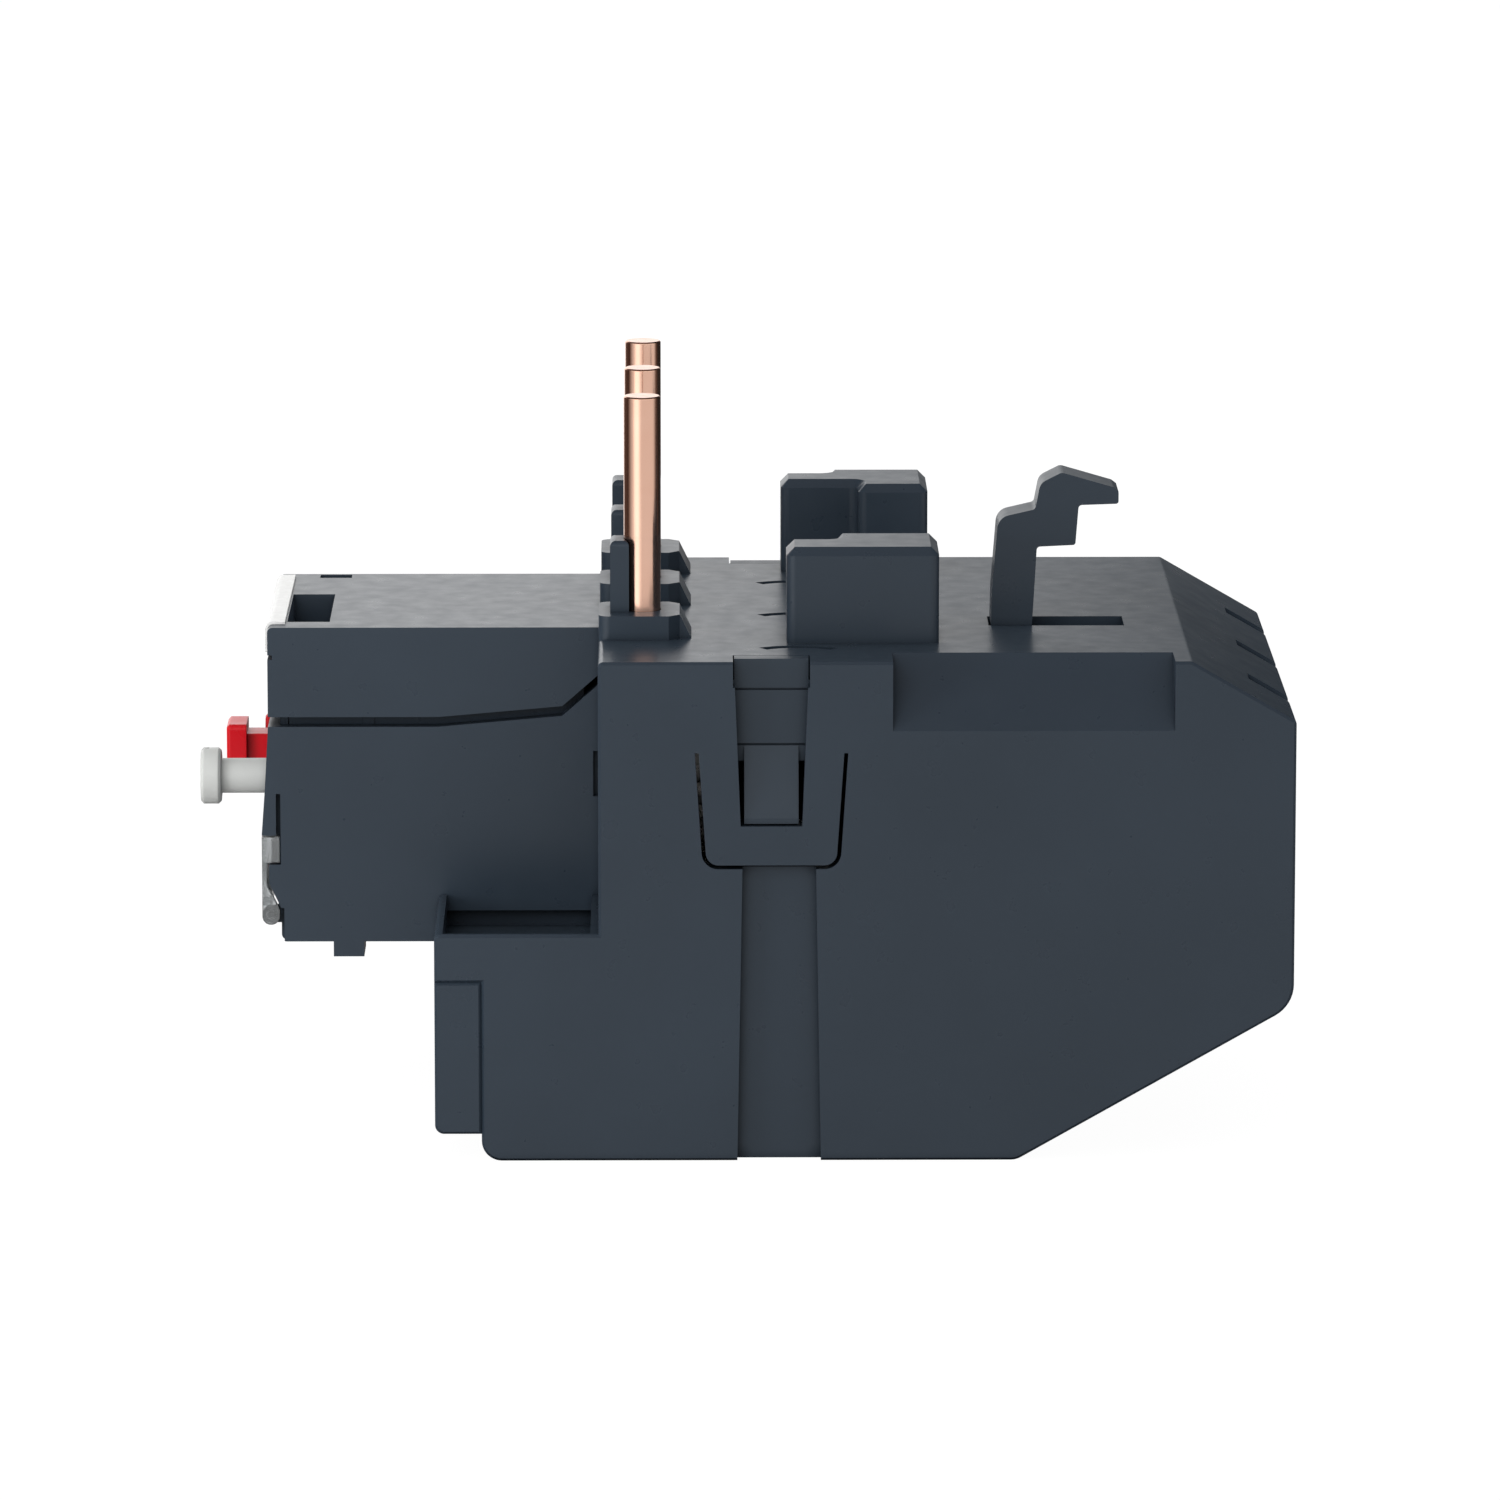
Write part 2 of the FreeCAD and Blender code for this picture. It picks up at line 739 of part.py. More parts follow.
def housing_shell():
    shell = cut(housing_block(), cavity())
    raised = [collar(pole) for pole in range(pole_count)]
    raised += [post(pole) for pole in range(pole_count)]
    raised += [tower(right_tower), tower(left_tower)]
    shell = fuse(shell, *(raised + hook_rails()))
    cuts = terminal_cuts()
    cuts.append(pocket_wedge(0.0))
    for footprint in (right_tower[0], left_tower[0]):
        cuts.append(tower_hollow(footprint))
    for feature in (side_slot(), tongue_slit(), lower_channel()):
        cuts.append(feature)
        cuts.append(mirror_sides(feature))
    for pole in range(pole_count):
        hole_top = housing_height + post_height + wall
        cuts.append(rod_z(rod_x(pole), 0.0, rod_radius + fit, roof_z - wall, hole_top))
        cuts.append(arc_groove(pole))
        cuts.append(shoulder_notch(pole))
    slot_x0 = hook_x[0] - hook_slot_gap
    slot_x1 = hook_x[1] + hook_slot_gap
    cuts.append(box(slot_x0, slot_x1, hook_slot_y[0], hook_slot_y[1],
                    roof_z - edge_radius, housing_height + wall))
    x0, x1, z0, z1 = lever_window
    cuts.append(box(x0, x1, front_y - wall, front_y + 2 * wall, z0, z1))
    return cut(shell, *cuts)


# ---- chassis that closes the housing from below ----------------------------------------------
def chassis_arm():
    """Right-hand arm with the barb that catches the tongue's bar."""
    outer = right_x - wall - sole_gap
    inner = outer - arm_thickness
    neck_z = roof_z - arm_neck_gap
    body = box(inner, outer, channel_middle_y - arm_half, channel_middle_y + arm_half, 0.0, neck_z)
    neck_half = slot_half_top - arm_neck_gap
    neck = box(inner, outer, channel_middle_y - neck_half, channel_middle_y + neck_half,
               neck_z, housing_height)
    ledge_z = window_foot_z + barb_gap
    reach = outer + barb_reach
    barb = prism("y", sharp([(outer - edge_radius, barb_top_z), (outer, barb_top_z), (reach, barb_full_z),
                             (reach, ledge_z), (outer - edge_radius, ledge_z)]),
                 channel_middle_y - barb_half, channel_middle_y + barb_half)
    arm = fuse(body, neck, barb)
    lines = []
    for drop in (arm_lead_drop, arm_line_drop):
        z = housing_height - drop
        lines.append(box(outer - arm_line_width, outer + wall, channel_middle_y - arm_half - wall,
                         channel_middle_y + arm_half + wall, z - arm_line_width, z))
    for side in (-1, 1):
        y0, y1 = side_span(side, barb_half, barb_half + barb_slot_width)
        lines.append(box(inner - wall, outer + wall, channel_middle_y + y0, channel_middle_y + y1,
                         ledge_z - barb_gap, barb_slot_top_z))
    return cut(arm, *lines)


def pedestal(pole):
    """Block that carries a pole's copper bar."""
    x0 = rod_x(pole) - ribbon_lead_half - edge_radius
    x1 = terminal_x(pole) + bar_half
    return box(x0, x1, slider_front_y, bar_back_y, 0.0, bar_top() - bar_thickness)


def slider_guide(x):
    """Post with a slot that the trip slider runs in."""
    top = slider_z + slider_thickness + guide_play + guide_width
    upright = box(x - guide_width / 2, x + guide_width / 2, slider_front_y + edge_radius, guide_back_y,
                  0.0, top)
    slot = box(x - guide_width, x + guide_width, slider_front_y - guide_width, slider_back_y + guide_play,
               slider_z - guide_play, slider_z + slider_thickness + guide_play)
    return cut(upright, slot)


def chassis_base():
    gap = wall + sole_gap
    heel = heel_line(gap)
    front = cavity_front_y + sole_gap
    outline = [(front, 0.0), (front, sole_thickness), (meet_u(heel, sole_thickness), sole_thickness),
               (meet_u(heel, 0.0), 0.0)]
    plate = prism("x", sharp(outline), left_x + gap, right_x - gap)
    parts = [pedestal(pole) for pole in range(pole_count)]
    parts += [slider_guide(x) for x in guide_xs]
    arm = chassis_arm()
    parts += [arm, mirror_sides(arm)]
    return fuse(plate, *parts)


# ---- rods, heaters and bars ------------------------------------------------------------------
def bar_top():
    return chamber_top_z - 2 * bar_slot_gap


def conductor_rod(pole):
    x = rod_x(pole)
    top = housing_height + rod_above
    relief_top = housing_height + post_height + rod_relief_above
    relief_foot = relief_top - rod_relief_blend
    lower = rod_z(x, 0.0, rod_radius - rod_relief, rod_foot_z, relief_foot)
    blend = Part.makeCone(rod_radius - rod_relief, rod_radius, rod_relief_blend,
                          FreeCAD.Vector(x, 0, relief_foot))
    upper = rod_z(x, 0.0, rod_radius, relief_top, top)
    upper = upper.makeChamfer(rod_tip_chamfer, end_edges(upper, 2, (top,)))
    return fuse(lower, blend, upper)


def terminal_bar(pole):
    """Copper bar: down through the clamp, back under the partition, onto the pedestal."""
    x = terminal_x(pole)
    top = bar_top()
    down = box(x - bar_half, x + bar_half, bar_front_y, bar_front_y + bar_thickness, bar_foot_z, top)
    along = box(x - bar_half, x + bar_half, bar_front_y, slider_front_y, top - bar_thickness, top)
    foot_x0 = rod_x(pole) - ribbon_lead_half
    foot = box(foot_x0, x + bar_half, slider_front_y, bar_back_y, top - bar_thickness, top)
    bend = fuse(down, along, foot)
    corner = [edge for edge in edges_along(bend, FreeCAD.Vector(1, 0, 0))
              if abs(edge.BoundBox.YMax - bar_front_y) < 1e-6 and abs(edge.BoundBox.ZMax - top) < 1e-6]
    return bend.makeFillet(bar_thickness / 2, corner)


def bimetal(pole):
    x = rod_x(pole)
    return box(x - bimetal_thickness / 2, x + bimetal_thickness / 2, bimetal_front_y,
               bimetal_front_y + bimetal_width, bar_top(), bimetal_top_z)


def heater_ribbon(pole):
    """Flat resistance ribbon: stepped turns round the bimetal, with a lead to the rod."""
    x = rod_x(pole)
    inner_x = bimetal_thickness / 2 + ribbon_gap
    outer_x = inner_x + ribbon_thickness
    y0 = bimetal_front_y - ribbon_gap
    y1 = bimetal_front_y + bimetal_width + ribbon_gap
    base = bar_top()
    pitch = (rod_foot_z - ribbon_lead - base) / ribbon_turns
    pieces = []
    for turn in range(ribbon_turns):
        z = base + (turn + 1) * pitch - ribbon_height
        ring = box(x - outer_x, x + outer_x, y0 - ribbon_thickness, y1 + ribbon_thickness,
                   z, z + ribbon_height)
        pieces.append(ring.cut(box(x - inner_x, x + inner_x, y0, y1, z, z + ribbon_height)))
        side = 1 if turn % 2 else -1
        riser_y = y1 if side > 0 else y0 - ribbon_thickness
        pieces.append(box(x - inner_x, x + inner_x, riser_y, riser_y + ribbon_thickness,
                          z - pitch + ribbon_height, z))
    lead_top = rod_foot_z
    last = base + ribbon_turns * pitch - ribbon_height
    pieces.append(box(x - inner_x, x + inner_x, y0 - ribbon_thickness, y0, last, lead_top))
    pieces.append(box(x - ribbon_lead_half, x + ribbon_lead_half, -rod_radius, y0,
                      lead_top - ribbon_thickness, lead_top))
    return fuse(pieces[0], *pieces[1:])


# ---- load terminals --------------------------------------------------------------------------
def terminal_shroud():
    block = prism("x", [
        (terminal_front_y, shroud_foot_z, shroud_radius), (terminal_front_y, shroud_top_z, 0.0),
        (sole_front_y, shroud_top_z, 0.0), (sole_front_y, shroud_foot_z, 0.0)], left_x, right_x)
    block = block.makeChamfer(edge_break, end_edges(block, 0, (left_x, right_x)))
    cuts = []
    inner_front = terminal_front_y + shroud_wall
    for pole in range(pole_count):
        x = terminal_x(pole)
        cuts.append(box(x - window_half, x + window_half, inner_front, sole_front_y,
                        shroud_foot_z + shroud_wall, chamber_top_z))
        cuts.append(rod_y(x, terminal_screw_z, screw_head_radius + screw_hole_gap,
                          terminal_front_y - wall, inner_front))
    return cut(block, *cuts)


def hex_socket(x, y, z, flats, depth):
    """Hexagonal recess that opens towards -y."""
    radius = flats / math.sqrt(3)
    corners = []
    for i in range(6):
        angle = math.radians(60 * i)
        corners.append((x + radius * math.cos(angle), z + radius * math.sin(angle)))
    return prism("y", sharp(corners), y, y + depth)


def terminal_screw(pole):
    x = terminal_x(pole)
    head_back = screw_head_y + screw_head_length
    head = rod_y(x, terminal_screw_z, screw_head_radius, screw_head_y, head_back)
    head = head.makeChamfer(edge_break, end_edges(head, 1, (screw_head_y,)))
    shank = rod_y(x, terminal_screw_z, screw_shank_radius, head_back, bar_front_y - end_play)
    socket = hex_socket(x, screw_head_y, terminal_screw_z, screw_socket_flats, screw_socket_depth)
    return cut(fuse(head, shank), socket)


def clamp_cage(pole):
    """Steel cage that the screw draws forward, pinching the cable against the bar."""
    x = terminal_x(pole)
    z0 = terminal_screw_z - cage_height / 2
    z1 = terminal_screw_z + cage_height / 2
    back = cage_front_y + cage_depth
    ring = box(x - cage_half, x + cage_half, cage_front_y, back, z0, z1)
    ring = ring.makeFillet(edge_radius, edges_along(ring, FreeCAD.Vector(0, 0, 1)))
    opening = box(x - cage_half + cage_wall, x + cage_half - cage_wall, cage_front_y + cage_wall,
                  back - cage_wall, z0, z1)
    bore = rod_y(x, terminal_screw_z, screw_shank_radius + fit, cage_front_y, cage_front_y + cage_wall)
    return cut(ring, opening, bore)


# ---- trip slider -----------------------------------------------------------------------------
def slider_tab_x():
    return lever_x - lever_arm_thickness / 2 - slider_slot_gap


def trip_slider():
    """Flat bar with a slot for each bimetal's tip and a tab that pushes the trip lever."""
    top = slider_z + slider_thickness
    plate = box(-slider_half, slider_half, slider_front_y, slider_back_y, slider_z, top)
    tab = box(slider_tab_x() - slider_tab_width, slider_tab_x(), slider_tab_y, slider_front_y, slider_z, top)
    slots = []
    for pole in range(pole_count):
        x = rod_x(pole)
        reach = bimetal_thickness / 2 + slider_slot_gap
        slots.append(box(x - reach - slider_travel, x + reach, bimetal_front_y - slider_slot_gap,
                         bimetal_front_y + bimetal_width + slider_slot_gap, slider_z, top))
    return cut(fuse(plate, tab), *slots)


# ---- module shells ---------------------------------------------------------------------------
def module_side(z_shift, front):
    """Points of the parting line, shifted, from the front face back to the housing."""
    points = [(front, parting_line[0][1] + z_shift)]
    points += [(y, z + z_shift) for y, z in parting_line]
    return points


def module_lower_shell():
    top = module_side(-parting_half, plate_back_y)
    outline = [(plate_back_y, module_foot_z, edge_radius), (module_step_y, module_foot_z, 0.0),
               (module_step_y, saddle_z, 0.0), (front_y, saddle_z, 0.0)]
    outline += [(y, z, 0.0) for y, z in reversed(top)]
    body = prism("x", outline, -module_half, module_half)
    bulge_low, bulge_mid, bulge_high = bulge_zs
    rear_y = plate_back_y + edge_radius
    bulge = [(rear_y, bulge_low), (plate_back_y, bulge_low), (bulge_front_y, bulge_mid),
             (bulge_front_y, bulge_high), (rear_y, bulge_high)]
    inner = module_half - module_wall
    solids = []
    for side in (-1, 1):
        near, far = side_span(side, inner, module_half)
        solids.append(prism("x", sharp(bulge), near, far))
        near, far = side_span(side, ear_inner_x, ear_outer_x)
        solids.append(box(near, far, cover_pivot_y, rear_y,
                          cover_pivot_z - cover_eye_radius, cover_pivot_z + cover_eye_radius))
        solids.append(rod_along_x(cover_pivot_y, cover_pivot_z, cover_eye_radius, near, far))
        near, far = side_span(side, module_half - foot_tab_width, module_half)
        solids.append(box(near, far, foot_tab_ys[0], foot_tab_ys[1],
                          module_foot_z - foot_tab_drop, module_foot_z))
    body = fuse(body, *solids)
    room_back = front_y - module_wall
    floor_z = module_foot_z + module_wall
    shelf_z = saddle_z + module_wall
    shelf_y = module_step_y + module_wall
    room = [(plate_back_y - wall, floor_z), (shelf_y, floor_z), (shelf_y, shelf_z),
            (room_back, shelf_z), (room_back, housing_height), (plate_back_y - wall, housing_height)]
    body = cut(body, prism("x", sharp(room), -inner, inner))
    inside = [bulkhead(inner), carrier_rail(inner), lever_boss()]
    inside += parting_lips(inner)
    body = fuse(body, *inside)
    cuts = [cover_pin_hole(), cover_relief_cut(1), cover_relief_cut(-1), rear_notch(1), rear_notch(-1)]
    cuts += [stem_hole(reset_x, button_z), stem_hole(stop_x, button_z), stem_hole(test_x, test_z)]
    cuts.append(rod_y(dial_x, dial_z, dial_stem_radius + shaft_gap,
                      bulkhead_y, bulkhead_y + bulkhead_thickness))
    x0, x1, z0, z1 = lever_window
    cuts.append(box(x0, x1, room_back - module_wall, front_y, z0, z1))
    return cut(body, *cuts)


def bulkhead(inner):
    """Cross wall that guides the button stems."""
    return box(-inner, inner, bulkhead_y, bulkhead_y + bulkhead_thickness, module_foot_z, rail_top_z)


def carrier_rail(inner):
    """Rib that carries the rear end of the contact carrier."""
    return box(-inner, carrier_x[1], rail_y, rail_y + bulkhead_thickness, saddle_z, rail_top_z)


def lever_boss():
    radius = lever_shoulder_radius + module_wall
    return rod_z(lever_x, lever_y, radius, saddle_z, saddle_z + 2 * module_wall)


def parting_lips(inner):
    """Lips inside the parting groove: low beside the terminal block, tall behind it."""
    lips = []
    start_y = plate_back_y + lip_thickness + lip_gap
    low = module_side(-parting_half - lip_height, start_y)
    back = front_y - module_wall - lip_gap
    for side in (-1, 1):
        near, far = side_span(side, inner - lip_gap - lip_thickness, inner - lip_gap)
        for height, first_y in ((parting_half - lip_gap, start_y), (lip_height, block_back_y + lip_gap)):
            high = module_side(height, start_y)
            blade = prism("x", sharp(low + list(reversed(high))), near, far)
            lips.append(blade.common(box(-inner, inner, first_y, back, module_foot_z, housing_height)))
        near, far = side_span(side, inner - lip_gap - lip_thickness, inner)
        foot = prism("x", sharp(low + list(reversed(module_side(-parting_half, start_y)))), near, far)
        lips.append(foot.common(box(-inner, inner, start_y, back, module_foot_z, housing_height)))
    return lips


def stem_hole(x, z):
    return rod_y(x, z, stem_radius + shaft_gap, bulkhead_y, bulkhead_y + bulkhead_thickness)


def cover_pin_hole():
    return rod_along_x(cover_pivot_y, cover_pivot_z, cover_pin_radius, -module_half, module_half)


def cover_relief_cut(side):
    """Room for the cover's eye as it turns."""
    x0, x1 = side_span(side, ear_outer_x, module_half + wall)
    return box(x0, x1, plate_back_y - wall, plate_back_y + cover_relief, module_foot_z - wall, bulge_zs[0])


def rear_notch(side):
    x0, x1 = side_span(side, module_half - rear_notch_size, module_half + wall)
    return box(x0, x1, front_y - rear_notch_size, front_y, rear_notch_z[0], rear_notch_z[1])


def module_upper_shell():
    """Upper shell with the block that holds the auxiliary terminals."""
    under = module_side(parting_half, module_front_y)
    outline = [(module_front_y, housing_height, edge_radius), (front_y, housing_height, 0.0)]
    outline += [(y, z, 0.0) for y, z in reversed(under)]
    body = prism("x", outline, -module_half, module_half)
    inner = module_half - module_wall
    under_z = parting_line[0][1] + parting_half
    room = box(-inner, inner, module_front_y + module_wall, front_y - module_wall,
               module_foot_z, housing_height - module_wall)
    block = box(block_x[0], block_x[1] + edge_radius, module_front_y + edge_radius, block_back_y,
                under_z, housing_height - edge_radius)
    body = fuse(cut(body, room), block)
    cuts = [funnel()]
    for wire_x in aux_wire_xs:
        x = wire_x + aux_screw_shift
        cuts.append(rod_z(wire_x, wire_y, wire_hole_radius, aux_cell_top_z, funnel_floor_z + wall))
        cuts.append(box(x - saddle_half_x - saddle_play, x + saddle_reach_x + saddle_play,
                        aux_cell_front_y, block_back_y, under_z, aux_cell_top_z))
        cuts.append(rod_y(x, aux_z, aux_head_radius + shaft_gap, module_front_y, aux_cell_front_y))
    strip_top = aux_z + saddle_half_z
    cuts.append(box(block_x[0], aux_wire_xs[0] + aux_screw_shift, aux_plate_y - lip_gap, block_back_y,
                    under_z, strip_top))
    x0, x1, z0, z1 = flag_window
    cuts.append(box(x0, x1, module_front_y, module_front_y + module_wall, z0, z1))
    x0, x1 = (inset - module_half for inset in edge_notch_insets)
    y0, y1 = edge_notch_ys
    cuts.append(box(x0, x1, y0, y1, housing_height - edge_notch_depth, housing_height))
    groove_z = housing_height - label_drop
    cuts.append(box(-module_half, module_half, module_front_y, module_front_y + label_groove,
                    groove_z - label_groove, groove_z))
    return cut(body, *cuts)


def funnel():
    """Tapered mouth that leads both wires down to their terminals."""
    x0 = aux_wire_xs[0] - funnel_half_x
    x1 = aux_wire_xs[1] + funnel_half_x
    y0, y1 = funnel_y

    def ring(inset, z):
        corners = [(x0 + inset, y0 + inset), (x1 - inset, y0 + inset),
                   (x1 - inset, y1 - inset), (x0 + inset, y1 - inset)]
        return rounded_wire("z", sharp(corners), z)
    return Part.makeLoft([ring(funnel_taper, funnel_floor_z), ring(0.0, housing_height)], True)


def front_plate():
    """Front plate: the leaning upper panel with the buttons and the recessed panel with the dial."""
    top_z = parting_line[0][1] - parting_half
    upper = prism("x", sharp([(plate_back_y, top_z), (module_front_y, top_z),
                              (module_front_y - plate_lean / 2, button_z),
                              (module_front_y - plate_lean, window_sill_z),
                              (plate_back_y, window_sill_z)]), -module_half, module_half)
    inner = module_half - module_wall - lip_gap
    dial_plate_back_y = dial_plate_front_y + dial_plate_thickness
    lap_z = window_sill_z + dial_plate_lap
    lap_half = inner - module_wall
    lap = box(-lap_half, lap_half, plate_back_y, dial_plate_back_y, window_sill_z, lap_z)
    foot_z = module_foot_z + module_wall + lip_gap
    lower = box(-dial_plate_half, dial_plate_half, dial_plate_front_y, dial_plate_back_y, foot_z, lap_z)
    lip_top = parting_line[0][1] + parting_half - lip_gap
    lip = box(-inner, inner, plate_back_y, plate_back_y + lip_thickness, top_z - dial_plate_lap, lip_top)
    plate = fuse(upper, lower, lap, lip)
    through = (module_front_y - wall, plate_back_y + wall)
    square = shaft_size / 2 + shaft_gap
    cuts = [
        rod_y(reset_x, button_z, shaft_size / 2 + shaft_gap, *through),
        box(stop_x - square, stop_x + square, through[0], through[1], button_z - square, button_z + square),
        rod_y(test_x, test_z, test_radius + shaft_gap, *through),
        rod_y(dial_x, dial_z, dial_radius + dial_gap, *through)]
    collar_room = shaft_size / 2 + collar_margin + shaft_gap
    for x in (reset_x, stop_x):
        cuts.append(rod_y(x, button_z, collar_room, plate_back_y, dial_plate_back_y))
    for side in (-1, 1):
        x0, x1 = side_span(side, module_half - cover_wall, module_half)
        cuts.append(box(x0, x1, plate_back_y - side_slit_width, plate_back_y, window_sill_z, side_slit_top_z))
    return cut(plate, *cuts)


def marker_strip():
    """Bare label that folds over the top front edge."""
    front = module_front_y - label_thickness
    back = module_front_y + label_top_width
    top = housing_height + label_thickness
    corner = edge_radius + label_thickness
    foot = housing_height - label_drop
    outer = prism("x", [(front, foot, 0.0), (front, top, corner), (back, top, 0.0), (back, foot, 0.0)],
                  -label_half, label_half)
    core = prism("x", [(module_front_y, foot - wall, 0.0), (module_front_y, housing_height, edge_radius),
                       (back + wall, housing_height, 0.0), (back + wall, foot - wall, 0.0)],
                 -label_half, label_half)
    return cut(outer, core)


# ---- sealing cover ---------------------------------------------------------------------------
def sealing_cover():
    """Clear hinged cover: a front sheet between two flanges that turn on pins."""
    sheet = box(-module_half, module_half, cover_front_y, cover_front_y + cover_wall,
                cover_sheet_foot_z, cover_top_z)
    top_flange = box(-module_half, module_half, cover_front_y, cover_back_y - cover_gap,
                     cover_top_z - cover_wall / 2, cover_top_z)
    eye = cover_eye_radius - fit
    flange_outline = [
        (cover_front_y, cover_foot_z, eye), (cover_back_y, cover_foot_z, eye),
        (cover_back_y, cover_top_z, 0.0), (cover_front_y, cover_top_z, 0.0)]
    flanges = []
    for side in (-1, 1):
        x0, x1 = side_span(side, module_half - cover_wall, module_half)
        flanges.append(prism("x", flange_outline, x0, x1))
    cover = fuse(sheet, top_flange, *flanges)
    bulge_low, bulge_mid, bulge_high = bulge_zs
    gap = cover_gap
    notch = sharp([(cover_back_y + wall, bulge_low - gap - wall), (cover_back_y, bulge_low - gap),
                   (bulge_front_y - gap, bulge_mid - gap), (bulge_front_y - gap, bulge_high + gap),
                   (cover_back_y + wall, bulge_high + gap)])
    cuts = [prism("x", notch, -module_half, module_half)]
    blind_x = module_half - cover_skin
    cuts.append(rod_along_x(cover_pivot_y, cover_pivot_z, cover_pin_radius + fit, -blind_x, blind_x))
    for side in (-1, 1):
        x0, x1 = side_span(side, ear_inner_x - cover_gap, ear_outer_x + cover_gap / 2)
        cuts.append(box(x0, x1, cover_front_y, cover_back_y, cover_foot_z,
                        cover_pivot_z + 2 * cover_eye_radius))
    return cut(cover, *cuts)


def cover_pins():
    """Two stub pins pressed into the ears."""
    pins = []
    for side in (-1, 1):
        x0, x1 = side_span(side, ear_inner_x, module_half - cover_skin - fit)
        pins.append(rod_along_x(cover_pivot_y, cover_pivot_z, cover_pin_radius, x0, x1))
    return Part.Compound(pins)


# ---- setting dial ----------------------------------------------------------------------------
def setting_dial():
    """Slotted dial with a knurled rim, a stem and an eccentric cam."""
    back = dial_front_y + dial_depth
    disc = rod_y(dial_x, dial_z, dial_radius, dial_front_y, back)
    flange = rod_y(dial_x, dial_z, dial_radius + dial_flange, back, back + collar_thickness)
    stem = rod_y(dial_x, dial_z, dial_stem_radius, back, dial_stem_back_y)
    cam_front = dial_stem_back_y - dial_cam_length
    cam = rod_y(dial_x, dial_z + dial_cam_offset, dial_cam_radius, cam_front, dial_stem_back_y)
    dial = fuse(disc, flange, stem, cam)
    half = dial_slot_width / 2
    cuts = [box(dial_x - dial_radius, dial_x + dial_radius, dial_front_y, dial_front_y + dial_slot_depth,
                dial_z - half, dial_z + half)]
    for tooth in range(dial_teeth):
        cuts.append(dial_notch(2 * math.pi * (tooth + 0.5) / dial_teeth))
    return cut(dial, *cuts)


def dial_notch(angle):
    """One V-shaped notch in the dial's rim."""
    def at(radius, turn):
        return dial_x + radius * math.cos(angle + turn), dial_z + radius * math.sin(angle + turn)
    spread = dial_notch_depth / dial_radius
    corners = [at(dial_radius - dial_notch_depth, 0), at(dial_radius + dial_gap, -spread),
               at(dial_radius + dial_gap, spread)]
    return prism("y", sharp(corners), dial_front_y, dial_front_y + dial_depth / 2)


# ---- push buttons ----------------------------------------------------------------------------
def stem_with_collar(x, z, collar_radius):
    """Retaining collar and the stem that runs in the bulkhead."""
    back = collar_y + collar_thickness
    collar_disc = rod_y(x, z, collar_radius, collar_y, back)
    stem = rod_y(x, z, stem_radius, back, stem_back_y)
    return fuse(collar_disc, stem)


def stop_button():
    half = head_size / 2
    head_back = stop_head_y + head_thickness
    head = box(stop_x - half, stop_x + half, stop_head_y, head_back, button_z - half, button_z + half)
    head = head.makeFillet(edge_radius, edges_along(head, FreeCAD.Vector(0, 1, 0)))
    head = head.makeChamfer(edge_break, end_edges(head, 1, (stop_head_y,)))
    square = shaft_size / 2
    shaft = box(stop_x - square, stop_x + square, head_back, collar_y, button_z - square, button_z + square)
    return fuse(head, shaft, stem_with_collar(stop_x, button_z, square * math.sqrt(2) + collar_margin / 2))


def reset_cap():
    """Round cap that turns on the plunger to choose manual or automatic reset."""
    head_back = reset_head_y + head_thickness
    head = rod_y(reset_x, button_z, head_size / 2, reset_head_y, head_back)
    head = head.makeChamfer(edge_break, end_edges(head, 1, (reset_head_y, head_back)))
    shaft = rod_y(reset_x, button_z, shaft_size / 2, head_back, collar_y - fit)
    slot = box(reset_x - reset_slot / 2, reset_x + reset_slot / 2, reset_head_y, reset_head_y + reset_slot,
               button_z - head_size, button_z + head_size)
    bore = rod_y(reset_x, button_z, stem_radius + fit, head_back, collar_y)
    return cut(fuse(head, shaft), slot, bore)


def reset_plunger():
    pin = rod_y(reset_x, button_z, stem_radius, reset_head_y + head_thickness + fit, collar_y)
    return fuse(stem_with_collar(reset_x, button_z, shaft_size / 2 + collar_margin), pin)


def test_button():
    head = rod_y(test_x, test_z, test_radius, test_head_y, collar_y)
    head = head.makeChamfer(edge_break, end_edges(head, 1, (test_head_y,)))
    return fuse(head, stem_with_collar(test_x, test_z, test_radius + collar_margin))


def return_spring(x, z):
    """Coil spring between a button's collar and the bulkhead."""
    start = collar_y + collar_thickness + end_play + spring_wire
    length = bulkhead_y - 3 * end_play - spring_wire - start
    steps = spring_turns * spring_steps
    points = []
    for step in range(steps + 1):
        angle = 2 * math.pi * step / spring_steps
        points.append(FreeCAD.Vector(spring_radius * math.cos(angle), spring_radius * math.sin(angle),
                                     length * step / steps))
    path = Part.makePolygon(points)
    inner = spring_radius - spring_wire
    outer = spring_radius + spring_wire
    half = spring_wire
    corners = ((inner, -half), (outer, -half), (outer, half), (inner, half), (inner, -half))
    section = Part.makePolygon([place("y", u, v, 0) for u, v in corners])
    coil = Part.Wire(path.Edges).makePipeShell([section], True, True, 1)
    coil.rotate(FreeCAD.Vector(0, 0, 0), FreeCAD.Vector(1, 0, 0), -90)
    coil.translate(FreeCAD.Vector(x, start, z))
    return coil


# ---- trip lever and contacts -----------------------------------------------------------------
def lever_pin():
    floor = saddle_z + module_wall
    shoulder = rod_z(lever_x, lever_y, lever_shoulder_radius, floor + module_wall, lever_hub_z[0] - end_play)
    pin = rod_z(lever_x, lever_y, lever_pin_radius, shoulder.BoundBox.ZMax, lever_hub_z[1] + wall)
    return fuse(shoulder, pin)


